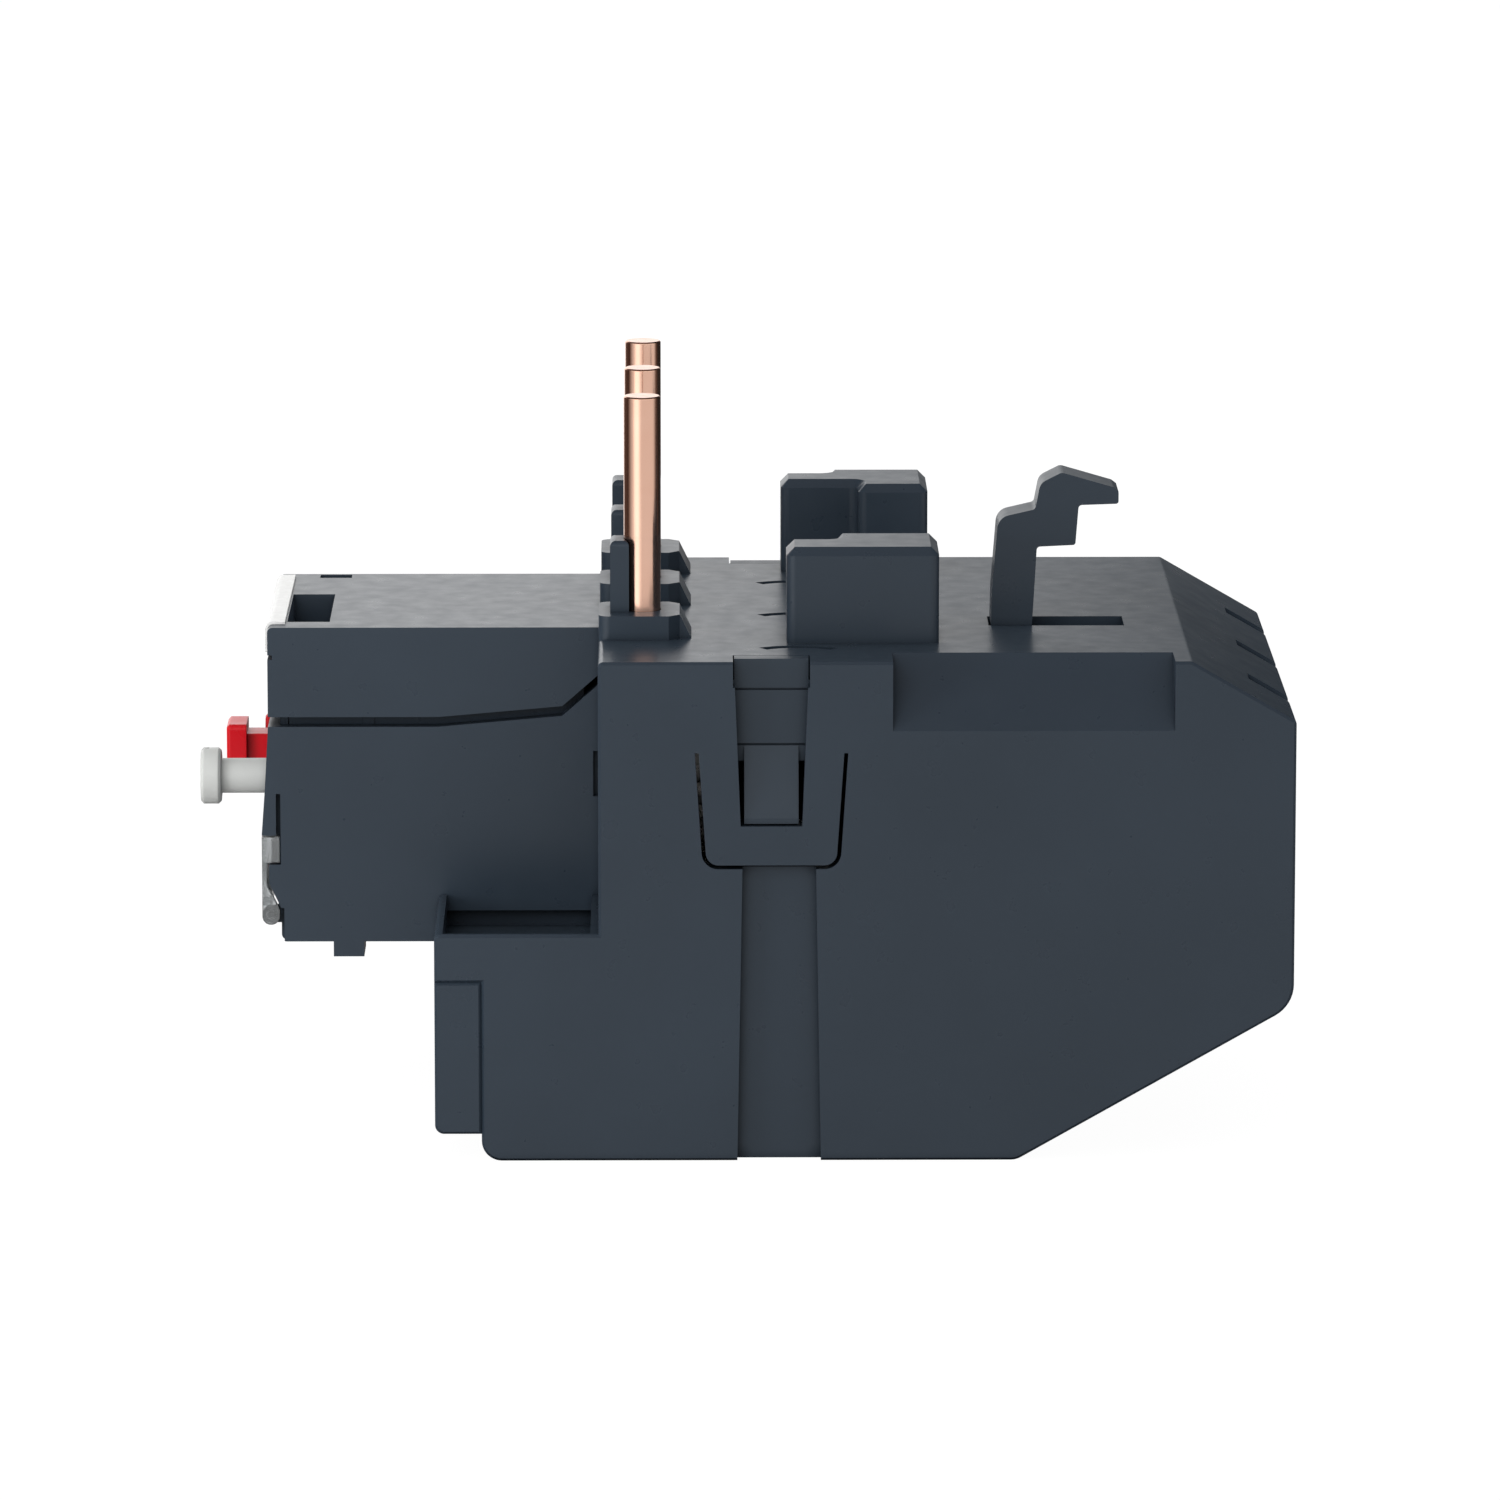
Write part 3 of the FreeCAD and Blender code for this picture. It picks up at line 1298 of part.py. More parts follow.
def trip_lever():
    """Two-armed lever: the rear arm meets the slider, the front finger pushes the contact carrier."""
    hub = rod_z(lever_x, lever_y, lever_hub_radius, lever_hub_z[0], lever_hub_z[1])
    half = lever_arm_thickness / 2
    arm = box(lever_x - half, lever_x + half, lever_y, lever_arm_back_y, lever_arm_z[0], lever_arm_z[1])
    length = math.hypot(lever_tip_x - lever_x, lever_tip_y - lever_y)
    angle = math.degrees(math.atan2(lever_tip_y - lever_y, lever_tip_x - lever_x))
    width = lever_finger_width / 2
    finger = box(0, length, -width, width, lever_finger_z[0], lever_finger_z[1])
    sides = [(0, -width), (length, -lever_tip_radius), (length, lever_tip_radius), (0, width)]
    taper = prism("z", sharp(sides), lever_finger_z[0], lever_finger_z[1])
    finger = finger.common(taper)
    finger.rotate(FreeCAD.Vector(0, 0, 0), FreeCAD.Vector(0, 0, 1), angle)
    finger.translate(FreeCAD.Vector(lever_x, lever_y, 0))
    tip = rod_z(lever_tip_x, lever_tip_y, lever_tip_radius, lever_finger_z[0], lever_finger_z[1])
    bore = rod_z(lever_x, lever_y, lever_pin_radius + fit, lever_hub_z[0], lever_hub_z[1])
    return cut(fuse(hub, arm, finger, tip), bore)


def contact_carrier():
    """Moulded carrier that slides across the module."""
    z0, z1 = carrier_z
    body = box(carrier_x[0], carrier_x[1] - contact_height, carrier_y[0], carrier_y[1], z0, z1)
    tab = box(carrier_x[0], carrier_tab_x, carrier_tab_y, carrier_y[1], z0, z1)
    stalk = box(flag_x[0], flag_x[1], flag_front_y + flag_thickness, carrier_y[0] + stalk_inset,
                z0 + stalk_inset, z1 - stalk_inset)
    return fuse(body, tab, stalk)


def contact_bridge():
    """Springy bridge on the carrier with a rivet at each end."""
    x0 = carrier_x[1] - contact_height
    z = (carrier_z[0] + carrier_z[1]) / 2
    margin = 2 * contact_radius
    plate = box(x0, x0 + bridge_thickness, contact_ys[0] - margin, contact_ys[1] + margin,
                z - margin / 2, z + margin / 2)
    tip_x = strip_x - strip_thickness - contact_height - end_play
    rivets = [rod_along_x(y, z, contact_radius, x0 + bridge_thickness, tip_x) for y in contact_ys]
    return fuse(plate, *rivets)


def trip_flag():
    z0, z1 = carrier_z
    return box(flag_x[0], flag_x[1], flag_front_y, flag_front_y + flag_thickness, z0 + flag_foot_inset, z1)


def fixed_contact(index):
    """Strip from an auxiliary terminal to its fixed rivet."""
    x = aux_wire_xs[index] + aux_screw_shift
    z0 = aux_z - saddle_half_z
    z1 = aux_z + saddle_half_z
    y = aux_plate_y
    rivet_y = contact_ys[index]
    rivet_z = (carrier_z[0] + carrier_z[1]) / 2
    face = box(x - saddle_half_x, x + saddle_reach_x, y, y + strip_thickness, z0, z1)
    tab_x0 = strip_x - strip_thickness
    reach = 2 * contact_radius
    run_z0 = rivet_z - reach / 2
    run_z1 = rivet_z + reach / 2
    pieces = [box(tab_x0, strip_x, rivet_y - reach, rivet_y + reach, run_z0, run_z1)]
    if index == 0:
        pieces.append(box(tab_x0, strip_x, y, rivet_y, run_z0, run_z1))
        pieces.append(box(tab_x0, x, y, y + strip_thickness, run_z0, run_z1))
    else:
        run_y = rivet_y - reach
        leg_x = x - saddle_half_x
        pieces.append(box(leg_x, leg_x + strip_thickness, y, run_y + strip_thickness, run_z0, run_z1))
        pieces.append(box(tab_x0, leg_x + strip_thickness, run_y, run_y + strip_thickness, run_z0, run_z1))
    pieces.append(rod_along_x(rivet_y, rivet_z, contact_radius, tab_x0 - contact_height, tab_x0))
    hole = rod_y(x, aux_z, aux_shank_radius + fit, y, y + strip_thickness)
    return cut(fuse(face, *pieces), hole)


# ---- auxiliary terminals ---------------------------------------------------------------------
def aux_screw(index):
    x = aux_wire_xs[index] + aux_screw_shift
    back = aux_head_y + aux_head_length
    head = rod_y(x, aux_z, aux_head_radius, aux_head_y, back)
    head = head.makeChamfer(edge_break, end_edges(head, 1, (aux_head_y,)))
    shank = rod_y(x, aux_z, aux_shank_radius, back, aux_shank_back_y)
    half = aux_slot_width / 2
    across = box(x - aux_head_radius, x + aux_head_radius, aux_head_y, aux_head_y + aux_slot_depth,
                 aux_z - half, aux_z + half)
    upright = box(x - half, x + half, aux_head_y, aux_head_y + aux_slot_depth,
                  aux_z - aux_shank_radius, aux_z + aux_shank_radius)
    return cut(fuse(head, shank), across, upright)


def aux_saddle(index):
    """Pressure plate that the screw carries against the wire."""
    x = aux_wire_xs[index] + aux_screw_shift
    y = aux_head_y + aux_head_length + end_play
    plate = box(x - saddle_half_x, x + saddle_reach_x, y, y + saddle_thickness,
                aux_z - saddle_half_z, aux_z + saddle_half_z)
    return cut(plate, rod_y(x, aux_z, aux_shank_radius + fit, y, y + saddle_thickness))


# ---- contactor hook --------------------------------------------------------------------------
def contactor_hook():
    corners = [(y, housing_height + height, radius) for y, height, radius in hook_outline]
    blade = prism("x", corners, hook_x[0], hook_x[1])
    foot_top = roof_z - hook_play
    neck = box(hook_x[0], hook_x[1], hook_outline[0][0], hook_outline[-1][0], foot_top, housing_height)
    foot = box(hook_x[0] - hook_foot_side, hook_x[1] + hook_foot_side,
               hook_foot_y[0], hook_foot_y[1], foot_top - hook_foot_thickness, foot_top)
    return fuse(blade, neck, foot)


# ---- output ----------------------------------------------------------------------------------
def build():
    parts = {
        "housing_shell": housing_shell(),
        "chassis_base": chassis_base(),
        "terminal_shroud": terminal_shroud(),
        "module_lower_shell": module_lower_shell(),
        "module_upper_shell": module_upper_shell(),
        "front_plate": front_plate(),
        "marker_strip": marker_strip(),
        "sealing_cover": sealing_cover(),
        "cover_pins": cover_pins(),
        "setting_dial": setting_dial(),
        "stop_button": stop_button(),
        "reset_cap": reset_cap(),
        "reset_plunger": reset_plunger(),
        "test_button": test_button(),
        "stop_spring": return_spring(stop_x, button_z),
        "reset_spring": return_spring(reset_x, button_z),
        "test_spring": return_spring(test_x, test_z),
        "trip_slider": trip_slider(),
        "lever_pin": lever_pin(),
        "trip_lever": trip_lever(),
        "contact_carrier": contact_carrier(),
        "contact_bridge": contact_bridge(),
        "trip_flag": trip_flag(),
        "contactor_hook": contactor_hook()}
    for index in range(len(aux_wire_xs)):
        number = str(index + 1)
        parts["fixed_contact_" + number] = fixed_contact(index)
        parts["aux_screw_" + number] = aux_screw(index)
        parts["aux_saddle_" + number] = aux_saddle(index)
    for pole in range(pole_count):
        name = pole_names[pole]
        parts["conductor_rod_" + name] = conductor_rod(pole)
        parts["heater_ribbon_" + name] = heater_ribbon(pole)
        parts["bimetal_" + name] = bimetal(pole)
        parts["terminal_bar_" + name] = terminal_bar(pole)
        parts["clamp_cage_" + name] = clamp_cage(pole)
        parts["terminal_screw_" + name] = terminal_screw(pole)
    return parts


os.makedirs("parts", exist_ok=True)
for part_name, part_shape in build().items():
    part_shape.exportStep("parts/" + part_name + ".step")
    solid_count = len(part_shape.Solids)
    print(part_name, solid_count, "solid(s)", round(part_shape.Volume, 1), "mm3", part_shape.isValid())
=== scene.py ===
# %% [markdown]
# # A plug-in motor overload relay
# The relay hangs under a contactor by three copper rods. Its body is one dark moulding, and a
# narrower control module stands in front of it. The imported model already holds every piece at
# its real size, so this lesson gives it surfaces, light, a dial scale and wound springs.
# Lengths are metres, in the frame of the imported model: x points to the relay's right side,
# y to its back and z up.

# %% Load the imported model
import json
import math
import bpy
from mathutils import Matrix, Vector


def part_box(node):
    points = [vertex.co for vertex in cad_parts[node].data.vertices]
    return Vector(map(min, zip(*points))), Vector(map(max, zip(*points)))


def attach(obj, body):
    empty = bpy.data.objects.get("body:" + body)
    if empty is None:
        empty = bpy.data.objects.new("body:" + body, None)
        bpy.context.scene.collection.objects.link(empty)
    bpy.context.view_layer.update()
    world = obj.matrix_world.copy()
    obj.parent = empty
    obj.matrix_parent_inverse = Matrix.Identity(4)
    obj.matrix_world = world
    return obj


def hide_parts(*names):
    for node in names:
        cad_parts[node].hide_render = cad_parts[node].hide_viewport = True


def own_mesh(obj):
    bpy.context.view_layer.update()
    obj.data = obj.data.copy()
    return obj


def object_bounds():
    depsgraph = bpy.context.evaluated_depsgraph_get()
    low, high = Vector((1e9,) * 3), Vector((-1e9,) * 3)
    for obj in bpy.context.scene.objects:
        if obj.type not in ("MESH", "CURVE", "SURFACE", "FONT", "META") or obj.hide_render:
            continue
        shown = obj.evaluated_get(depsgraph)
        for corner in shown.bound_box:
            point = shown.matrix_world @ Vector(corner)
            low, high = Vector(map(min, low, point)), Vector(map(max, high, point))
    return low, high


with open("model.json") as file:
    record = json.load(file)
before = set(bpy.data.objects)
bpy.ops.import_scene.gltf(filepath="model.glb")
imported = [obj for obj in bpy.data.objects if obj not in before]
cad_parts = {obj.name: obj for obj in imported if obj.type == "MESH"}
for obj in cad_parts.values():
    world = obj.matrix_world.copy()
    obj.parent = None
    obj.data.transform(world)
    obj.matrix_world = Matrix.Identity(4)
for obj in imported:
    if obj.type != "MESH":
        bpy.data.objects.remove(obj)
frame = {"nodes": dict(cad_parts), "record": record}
nodes = frame["nodes"]
cad_low, cad_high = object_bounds()
scene = bpy.context.scene
millimetre = 0.001

# %% [markdown]
# ## Camera
# The relay is seen from its right side, from about ten degrees above, through a long lens. A
# long lens keeps the parallel edges nearly parallel. Three Euler angles would do, but the
# viewing direction is easier to read, so the turn is built as one matrix from it.

# %% Camera
camera_place = Vector((1.05801, 0.00307, 0.23535))
camera_pitch = math.radians(10.559)
camera_yaw = math.radians(0.4857)
sensor_width = 36.0
lens_length = 229.13

looking = Vector((-math.cos(camera_pitch) * math.cos(camera_yaw),
                  math.cos(camera_pitch) * math.sin(camera_yaw),
                  -math.sin(camera_pitch)))
to_right = looking.cross(Vector((0, 0, 1))).normalized()
upward = to_right.cross(looking)
camera_turn = Matrix((to_right, upward, -looking)).transposed().to_4x4()

camera_data = bpy.data.cameras.new("side_camera")
camera_data.lens = lens_length
camera_data.sensor_width = sensor_width
camera = bpy.data.objects.new("side_camera", camera_data)
camera.matrix_world = Matrix.Translation(camera_place) @ camera_turn
scene.collection.objects.link(camera)
scene.camera = camera
print("camera distance:", round(camera_place.length, 3), "m")

# %% [markdown]
# ## The room around the relay
# Dark satin plastic shows its surroundings more than its own colour. A picture of a studio
# could surround it, but nothing in a picture can be moved. Here the room is drawn with nodes:
# each part of it is a smooth step of the cosine between a ray and one direction. These small
# helpers make the nodes, and the materials further down use them too.

# %% Helpers for nodes
def maths(tree, operation, first, second):
    """One maths node; each operand is a socket or a number."""
    node = tree.nodes.new("ShaderNodeMath")
    node.operation = operation
    for socket, operand in ((node.inputs[0], first), (node.inputs[1], second)):
        if isinstance(operand, (int, float)):
            socket.default_value = operand
        else:
            tree.links.new(operand, socket)
    return node.outputs[0]


def map_range(tree, value, start, full, low, high, kind):
    """A value's range from start to full becomes low to high."""
    node = tree.nodes.new("ShaderNodeMapRange")
    node.interpolation_type = kind
    node.inputs["From Min"].default_value = start
    node.inputs["From Max"].default_value = full
    node.inputs["To Min"].default_value = low
    node.inputs["To Max"].default_value = high
    tree.links.new(value, node.inputs["Value"])
    return node.outputs["Result"]


def ramp(tree, value, start, full, low=0.0, high=1.0):
    """Smooth step of a value from start to full, as low to high."""
    return map_range(tree, value, start, full, low, high, "SMOOTHSTEP")


def toward(tree, direction, aim):
    """Cosine between the ray's direction and an aim."""
    node = tree.nodes.new("ShaderNodeVectorMath")
    node.operation = "DOT_PRODUCT"
    node.inputs[1].default_value = Vector(aim).normalized()
    tree.links.new(direction, node.inputs[0])
    return node.outputs["Value"]


def blend_colours(tree, factor, first, second):
    """Mix of two colours; each is a socket or three numbers."""
    mixed = tree.nodes.new("ShaderNodeMix")
    mixed.data_type = "RGBA"
    tree.links.new(factor, mixed.inputs["Factor"])
    for socket, colour in ((mixed.inputs[6], first), (mixed.inputs[7], second)):
        if isinstance(colour, tuple):
            socket.default_value = (*colour, 1)
        else:
            tree.links.new(colour, socket)
    return mixed.outputs[2]


print("helpers: maths, map_range, ramp, toward, blend_colours")

# %% [markdown]
# ## What the room holds
# Diffuse light is an even quiet grey. Reflections see more: a broad pale field on the lens side,
# a soft box low at its front, a dark far side, and in that a bright backdrop, above the horizon
# and a little to the front. At a grazing angle the backdrop turns the flat top faces pale. The
# dark far side, tinted a little warm, gives the rods their dark edges.

# %% What the room holds
diffuse_strength = 0.60
dark_strength = 0.06            # what reflections see on the far side
front_strength = 0.75           # and on the lens side
lens_side = (-0.12, 0.3)        # the far side passes into the lens side between these cosines
# Each of these is (start, full, share): brighter above the horizon, darker high up and low down,
# and a grey flag straight at the front.
height_shares = ((-0.1, 0.15, 1.5), (0.3, 0.8, 0.15), (-0.3, -0.75, 0.25))
front_flag = (0.86, 0.99, 0.5)
soft_box = {"toward": (0.82, -0.55, -0.14), "start": 0.92, "full": 0.985, "strength": 0.9}
backdrop = {"toward": (-0.955, -0.21, 0.21), "start": 0.85, "full": 0.94, "strength": 1.28}
warm_tint, warm_range = (1.35, 0.9, 0.75), (0.05, 0.3)


def reflected_room(tree):
    """Brightness of the room that reflections see, by direction."""
    direction = tree.nodes.new("ShaderNodeTexCoord").outputs["Generated"]
    side = toward(tree, direction, (1, 0, 0))
    total = ramp(tree, side, *lens_side, dark_strength, front_strength)
    height = toward(tree, direction, (0, 0, 1))
    for start, full, share in height_shares:
        total = maths(tree, "MULTIPLY", total, ramp(tree, height, start, full, 1.0, share))
    front = toward(tree, direction, (0, -1, 0))
    start, full, share = front_flag
    total = maths(tree, "MULTIPLY", total, ramp(tree, front, start, full, 1.0, share))
    for panel in (soft_box, backdrop):
        seen = toward(tree, direction, panel["toward"])
        light = ramp(tree, seen, panel["start"], panel["full"], 0.0, panel["strength"])
        total = maths(tree, "ADD", total, light)
    return total


print("room: front", front_strength, "rear", dark_strength, "backdrop", backdrop["strength"])

# %% [markdown]
# ## World
# Three kinds of ray ask the world for light, and each gets its own answer through the Light
# Path node. The lens, and rays through clear pieces, see plain white. Reflections see the room.
# Everything else gets the even grey.

# %% World
scene.view_settings.view_transform = "Standard"


def build_world():
    world = bpy.data.worlds.new("studio")
    world.use_nodes = True
    tree = world.node_tree
    tree.nodes.clear()
    path = tree.nodes.new("ShaderNodeLightPath").outputs
    plain = maths(tree, "MAXIMUM", path["Is Camera Ray"], path["Is Transmission Ray"])
    glossy = maths(tree, "MULTIPLY", path["Is Glossy Ray"], maths(tree, "SUBTRACT", 1.0, plain))
    giving = maths(tree, "SUBTRACT", 1.0, maths(tree, "MAXIMUM", plain, glossy))
    strength = maths(tree, "MULTIPLY", glossy, reflected_room(tree))
    strength = maths(tree, "ADD", strength, maths(tree, "MULTIPLY", giving, diffuse_strength))
    strength = maths(tree, "ADD", strength, plain)
    background = tree.nodes.new("ShaderNodeBackground")
    bright = ramp(tree, strength, *warm_range)
    tree.links.new(blend_colours(tree, bright, warm_tint, (1.0, 1.0, 1.0)),
                   background.inputs["Color"])
    tree.links.new(strength, background.inputs["Strength"])
    output = tree.nodes.new("ShaderNodeOutputWorld")
    tree.links.new(background.outputs[0], output.inputs["Surface"])
    scene.world = world


build_world()
print("world: diffuse", diffuse_strength)

# %% [markdown]
# ## Floor
# The floor is nearly plain white to the lens and keeps a faint contact shadow. A shadow catcher
# would leave the shadow to a later step, so a matt floor is mixed with plain white here.
# Reflections look through it to the room, because the rods and the side walls mirror what lies
# below the horizon too.

# %% Floor
floor_half = 1.6
floor_grey = 0.55
floor_whiteness = 0.90        # share of plain white that the lens sees on the floor
floor_glow = 1.08             # strength of that share, so that the open floor is plain white


def stage_sheet(name, corners, material):
    """One four-cornered sheet of the stage."""
    mesh = bpy.data.meshes.new(name)
    mesh.from_pydata(corners, [], [(0, 1, 2, 3)])
    mesh.materials.append(material)
    return bpy.data.objects.new(name, mesh)


def blended_surface(tree, factor, first, second):
    """Two shaders, mixed into the surface."""
    mixed = tree.nodes.new("ShaderNodeMixShader")
    output = tree.nodes.new("ShaderNodeOutputMaterial")
    tree.links.new(factor, mixed.inputs[0])
    tree.links.new(first.outputs[0], mixed.inputs[1])
    tree.links.new(second.outputs[0], mixed.inputs[2])
    tree.links.new(mixed.outputs[0], output.inputs["Surface"])


def empty_material(name):
    material = bpy.data.materials.new(name)
    material.use_nodes = True
    material.node_tree.nodes.clear()
    return material, material.node_tree


def build_floor():
    material, tree = empty_material("pale_floor")
    path = tree.nodes.new("ShaderNodeLightPath").outputs
    seen = maths(tree, "MAXIMUM", path["Is Camera Ray"], path["Is Transmission Ray"])
    matt = tree.nodes.new("ShaderNodeBsdfDiffuse")
    matt.inputs["Color"].default_value = (floor_grey, floor_grey, floor_grey, 1)
    plain = tree.nodes.new("ShaderNodeEmission")
    plain.inputs["Color"].default_value = (1, 1, 1, 1)
    plain.inputs["Strength"].default_value = floor_glow
    blended_surface(tree, maths(tree, "MULTIPLY", seen, floor_whiteness), matt, plain)
    corners = [(-floor_half, -floor_half, 0), (floor_half, -floor_half, 0),
               (floor_half, floor_half, 0), (-floor_half, floor_half, 0)]
    floor = stage_sheet("floor", corners, material)
    floor.visible_glossy = False
    scene.collection.objects.link(floor)


build_floor()
print("floor:", 2 * floor_half, "m wide")

# %% [markdown]
# ## Graded screen
# A thin screen stands on the far side of the relay, clear toward its front and black toward its
# back. Only reflections see it. The top faces mirror the backdrop at a grazing angle, so the
# screen makes them fall from pale at the front of the relay to grey at its back, and it keeps
# slopes that lean to the back dark. A darker backdrop would dim all of them alike.

# %% Graded screen
screen_place = -0.16
screen_clear, screen_black, screen_end = -0.035, 0.125, 0.6
screen_top = 0.4
screen_strength = 0.02


def build_screen():
    material, tree = empty_material("graded_screen")
    place = tree.nodes.new("ShaderNodeSeparateXYZ")
    tree.links.new(tree.nodes.new("ShaderNodeTexCoord").outputs["Object"], place.inputs[0])
    black = tree.nodes.new("ShaderNodeEmission")
    black.inputs["Strength"].default_value = screen_strength
    clear = tree.nodes.new("ShaderNodeBsdfTransparent")
    blackness = ramp(tree, place.outputs["Y"], screen_clear, screen_black)
    blended_surface(tree, blackness, clear, black)
    corners = [(screen_place, screen_clear, 0), (screen_place, screen_end, 0),
               (screen_place, screen_end, screen_top), (screen_place, screen_clear, screen_top)]
    screen = stage_sheet("graded_screen", corners, material)
    for ray in ("camera", "diffuse", "transmission", "volume_scatter", "shadow"):
        setattr(screen, "visible_" + ray, False)
    scene.collection.objects.link(screen)


build_screen()
print("screen: clear at", screen_clear, "black at", screen_black)

# %% [markdown]
# ## Lamps
# Six soft square lamps light what is matt; small hard ones would cut sharp shadows into the
# troughs. The main lamp stands above the lens and a little to the front. A ceiling lamp and
# weaker ones around the relay keep every other side readable, and a tiny one near the front
# corner softens the shade under the module. Reflections don't see the lamps: the room that
# they see is already drawn.

# %% Lamps
relay_middle = (cad_low + cad_high) / 2
lamps = {  # name: (place, width, watts)
    "lens_lamp": ((0.85, -0.32, 0.58), 0.7, 3.6),
    "ceiling_lamp": ((0.1, -0.1, 0.95), 0.9, 1.4),
    "left_lamp": ((-0.35, -0.85, 0.3), 0.5, 2.0),
    "near_left_lamp": ((0.12, -0.16, 0.06), 0.06, 0.12),
    "far_side_lamp": ((-0.9, 0.15, 0.55), 0.6, 4.0),
    "rear_lamp": ((-0.1, 1.0, 0.45), 0.6, 1.6),
}


def soft_lamp(name, place, width, watts):
    """A square lamp that faces the relay."""
    data = bpy.data.lights.new(name, "AREA")
    data.shape = "SQUARE"
    data.size = width
    data.energy = watts
    lamp = bpy.data.objects.new(name, data)
    lamp.location = place
    aim = (relay_middle - Vector(place)).normalized()
    lamp.rotation_euler = aim.to_track_quat("-Z", "Y").to_euler()
    lamp.visible_glossy = False
    scene.collection.objects.link(lamp)


for name, values in lamps.items():
    soft_lamp(name, *values)
print("lamps:", len(lamps))

# %% [markdown]
# ## Helpers for surfaces
# Every surface starts from the Principled shader and gets its life from noise. Images could
# hold the same detail, but noise has no seams and no size limit. The Bevel node rounds the
# normal at sharp edges, and where it leaves the true one, edges are worn. Ambient occlusion
# finds narrow gaps and corners, and there shade is painted into the colour and the gloss.

# %% Helpers for surfaces
noise_low, noise_high = 0.3, 0.7    # most of a noise's values lie between these
bevel_samples, gap_samples = 8, 12
gap_shut, gap_open = 0.15, 0.85     # occlusion in a narrow gap and on an open face
sharp_edge = 0.8                    # cosine between true and rounded normal on a sharp edge


def new_material(name):
    material = bpy.data.materials.new(name)
    material.use_nodes = True
    tree = material.node_tree
    return material, tree, tree.nodes["Principled BSDF"]


def object_noise(tree, scale, detail=3.0, stretch=(1, 1, 1)):
    """Noise in the relay's own coordinates, so it stays on the piece."""
    place = tree.nodes.new("ShaderNodeTexCoord")
    mapping = tree.nodes.new("ShaderNodeMapping")
    mapping.inputs["Scale"].default_value = stretch
    noise = tree.nodes.new("ShaderNodeTexNoise")
    noise.inputs["Scale"].default_value = scale
    noise.inputs["Detail"].default_value = detail
    tree.links.new(place.outputs["Object"], mapping.inputs["Vector"])
    tree.links.new(mapping.outputs["Vector"], noise.inputs["Vector"])
    return noise.outputs["Fac"]


def spread(tree, value, low, high):
    """Map a noise value to the range from low to high."""
    return map_range(tree, value, noise_low, noise_high, low, high, "LINEAR")


def rounded_normal(tree, radius):
    bevel = tree.nodes.new("ShaderNodeBevel")
    bevel.samples = bevel_samples
    bevel.inputs["Radius"].default_value = radius
    return bevel.outputs["Normal"]


def edge_mask(tree, rounded):
    """How far the rounded normal leaves the true one: near 1 on sharp edges, 0 on flats."""
    true_normal = tree.nodes.new("ShaderNodeNewGeometry")
    dot = tree.nodes.new("ShaderNodeVectorMath")
    dot.operation = "DOT_PRODUCT"
    tree.links.new(true_normal.outputs["Normal"], dot.inputs[0])
    tree.links.new(rounded, dot.inputs[1])
    return map_range(tree, dot.outputs["Value"], 1.0, sharp_edge, 0.0, 1.0, "LINEAR")


def crevice_mask(tree, reach, darkest):
    """1 on open faces, falling to the darkest value inside narrow gaps and corners."""
    openness = tree.nodes.new("ShaderNodeAmbientOcclusion")
    openness.samples = gap_samples
    openness.inputs["Distance"].default_value = reach
    return ramp(tree, openness.outputs["AO"], gap_shut, gap_open, darkest, 1.0)


def grain_bump(tree, height, depth, under=None):
    """Bump of a height, its depth in metres, over a rounded normal where one is given."""
    bump = tree.nodes.new("ShaderNodeBump")
    bump.inputs["Strength"].default_value = 1.0
    bump.inputs["Distance"].default_value = depth
    tree.links.new(height, bump.inputs["Height"])
    if under is not None:
        tree.links.new(under, bump.inputs["Normal"])
    return bump.outputs["Normal"]


print("helpers: noise, rounded edges, crevices, grain")

# %% [markdown]
# ## Moulded plastic
# The shells are glass-filled plastic from an eroded mould: dark blue-grey, satin, with a very
# fine grain. The grain is fine noise in the bump, and slow noise shifts the colour and the
# gloss a little, as on any moulding. Handling polishes and lightens the edges of the small
# pieces. The large shells have no such edges here: the Bevel node would speckle their wide
# flats, and their corners are rounded in the solids already.

# %% Moulded plastic
moulded_corner = 0.00025
# Painted shade: in narrow gaps the colour falls toward a darker share of itself, and the gloss
# falls to a smaller share.
moulded_gap = 0.0018            # gaps narrower than about this are dark
moulded_specular = 0.30
moulded_shade, gap_shade_share, gap_light = 0.88, 0.35, 0.2  # shares of the colour, then of the gloss
drift_noise, rub_noise, gloss_noise, grain_noise = 45.0, 220.0, 380.0, 3200.0
plastics = {  # name: (colour, worn colour or None, roughness, depth of the grain)
    "housing_plastic": ((0.0275, 0.0395, 0.0550), None, 0.30, 0.000003),
    "chassis_plastic": ((0.0270, 0.0385, 0.0530), None, 0.33, 0.000003),
    "dial_plastic": ((0.58, 0.59, 0.58), (0.68, 0.69, 0.68), 0.4, 0.000006),
    "slider_plastic": ((0.35, 0.33, 0.28), (0.45, 0.43, 0.38), 0.5, 0.000003),
    "flag_orange": ((0.9, 0.35, 0.03), (0.95, 0.45, 0.1), 0.45, 0.000003),
    "red_plastic": ((0.58, 0.003, 0.010), (0.64, 0.03, 0.035), 0.3, 0.000002),
    "pale_plastic": ((0.55, 0.56, 0.545), (0.66, 0.66, 0.65), 0.35, 0.000002),
}


def shaded(colour, share):
    return tuple(channel * share for channel in colour)


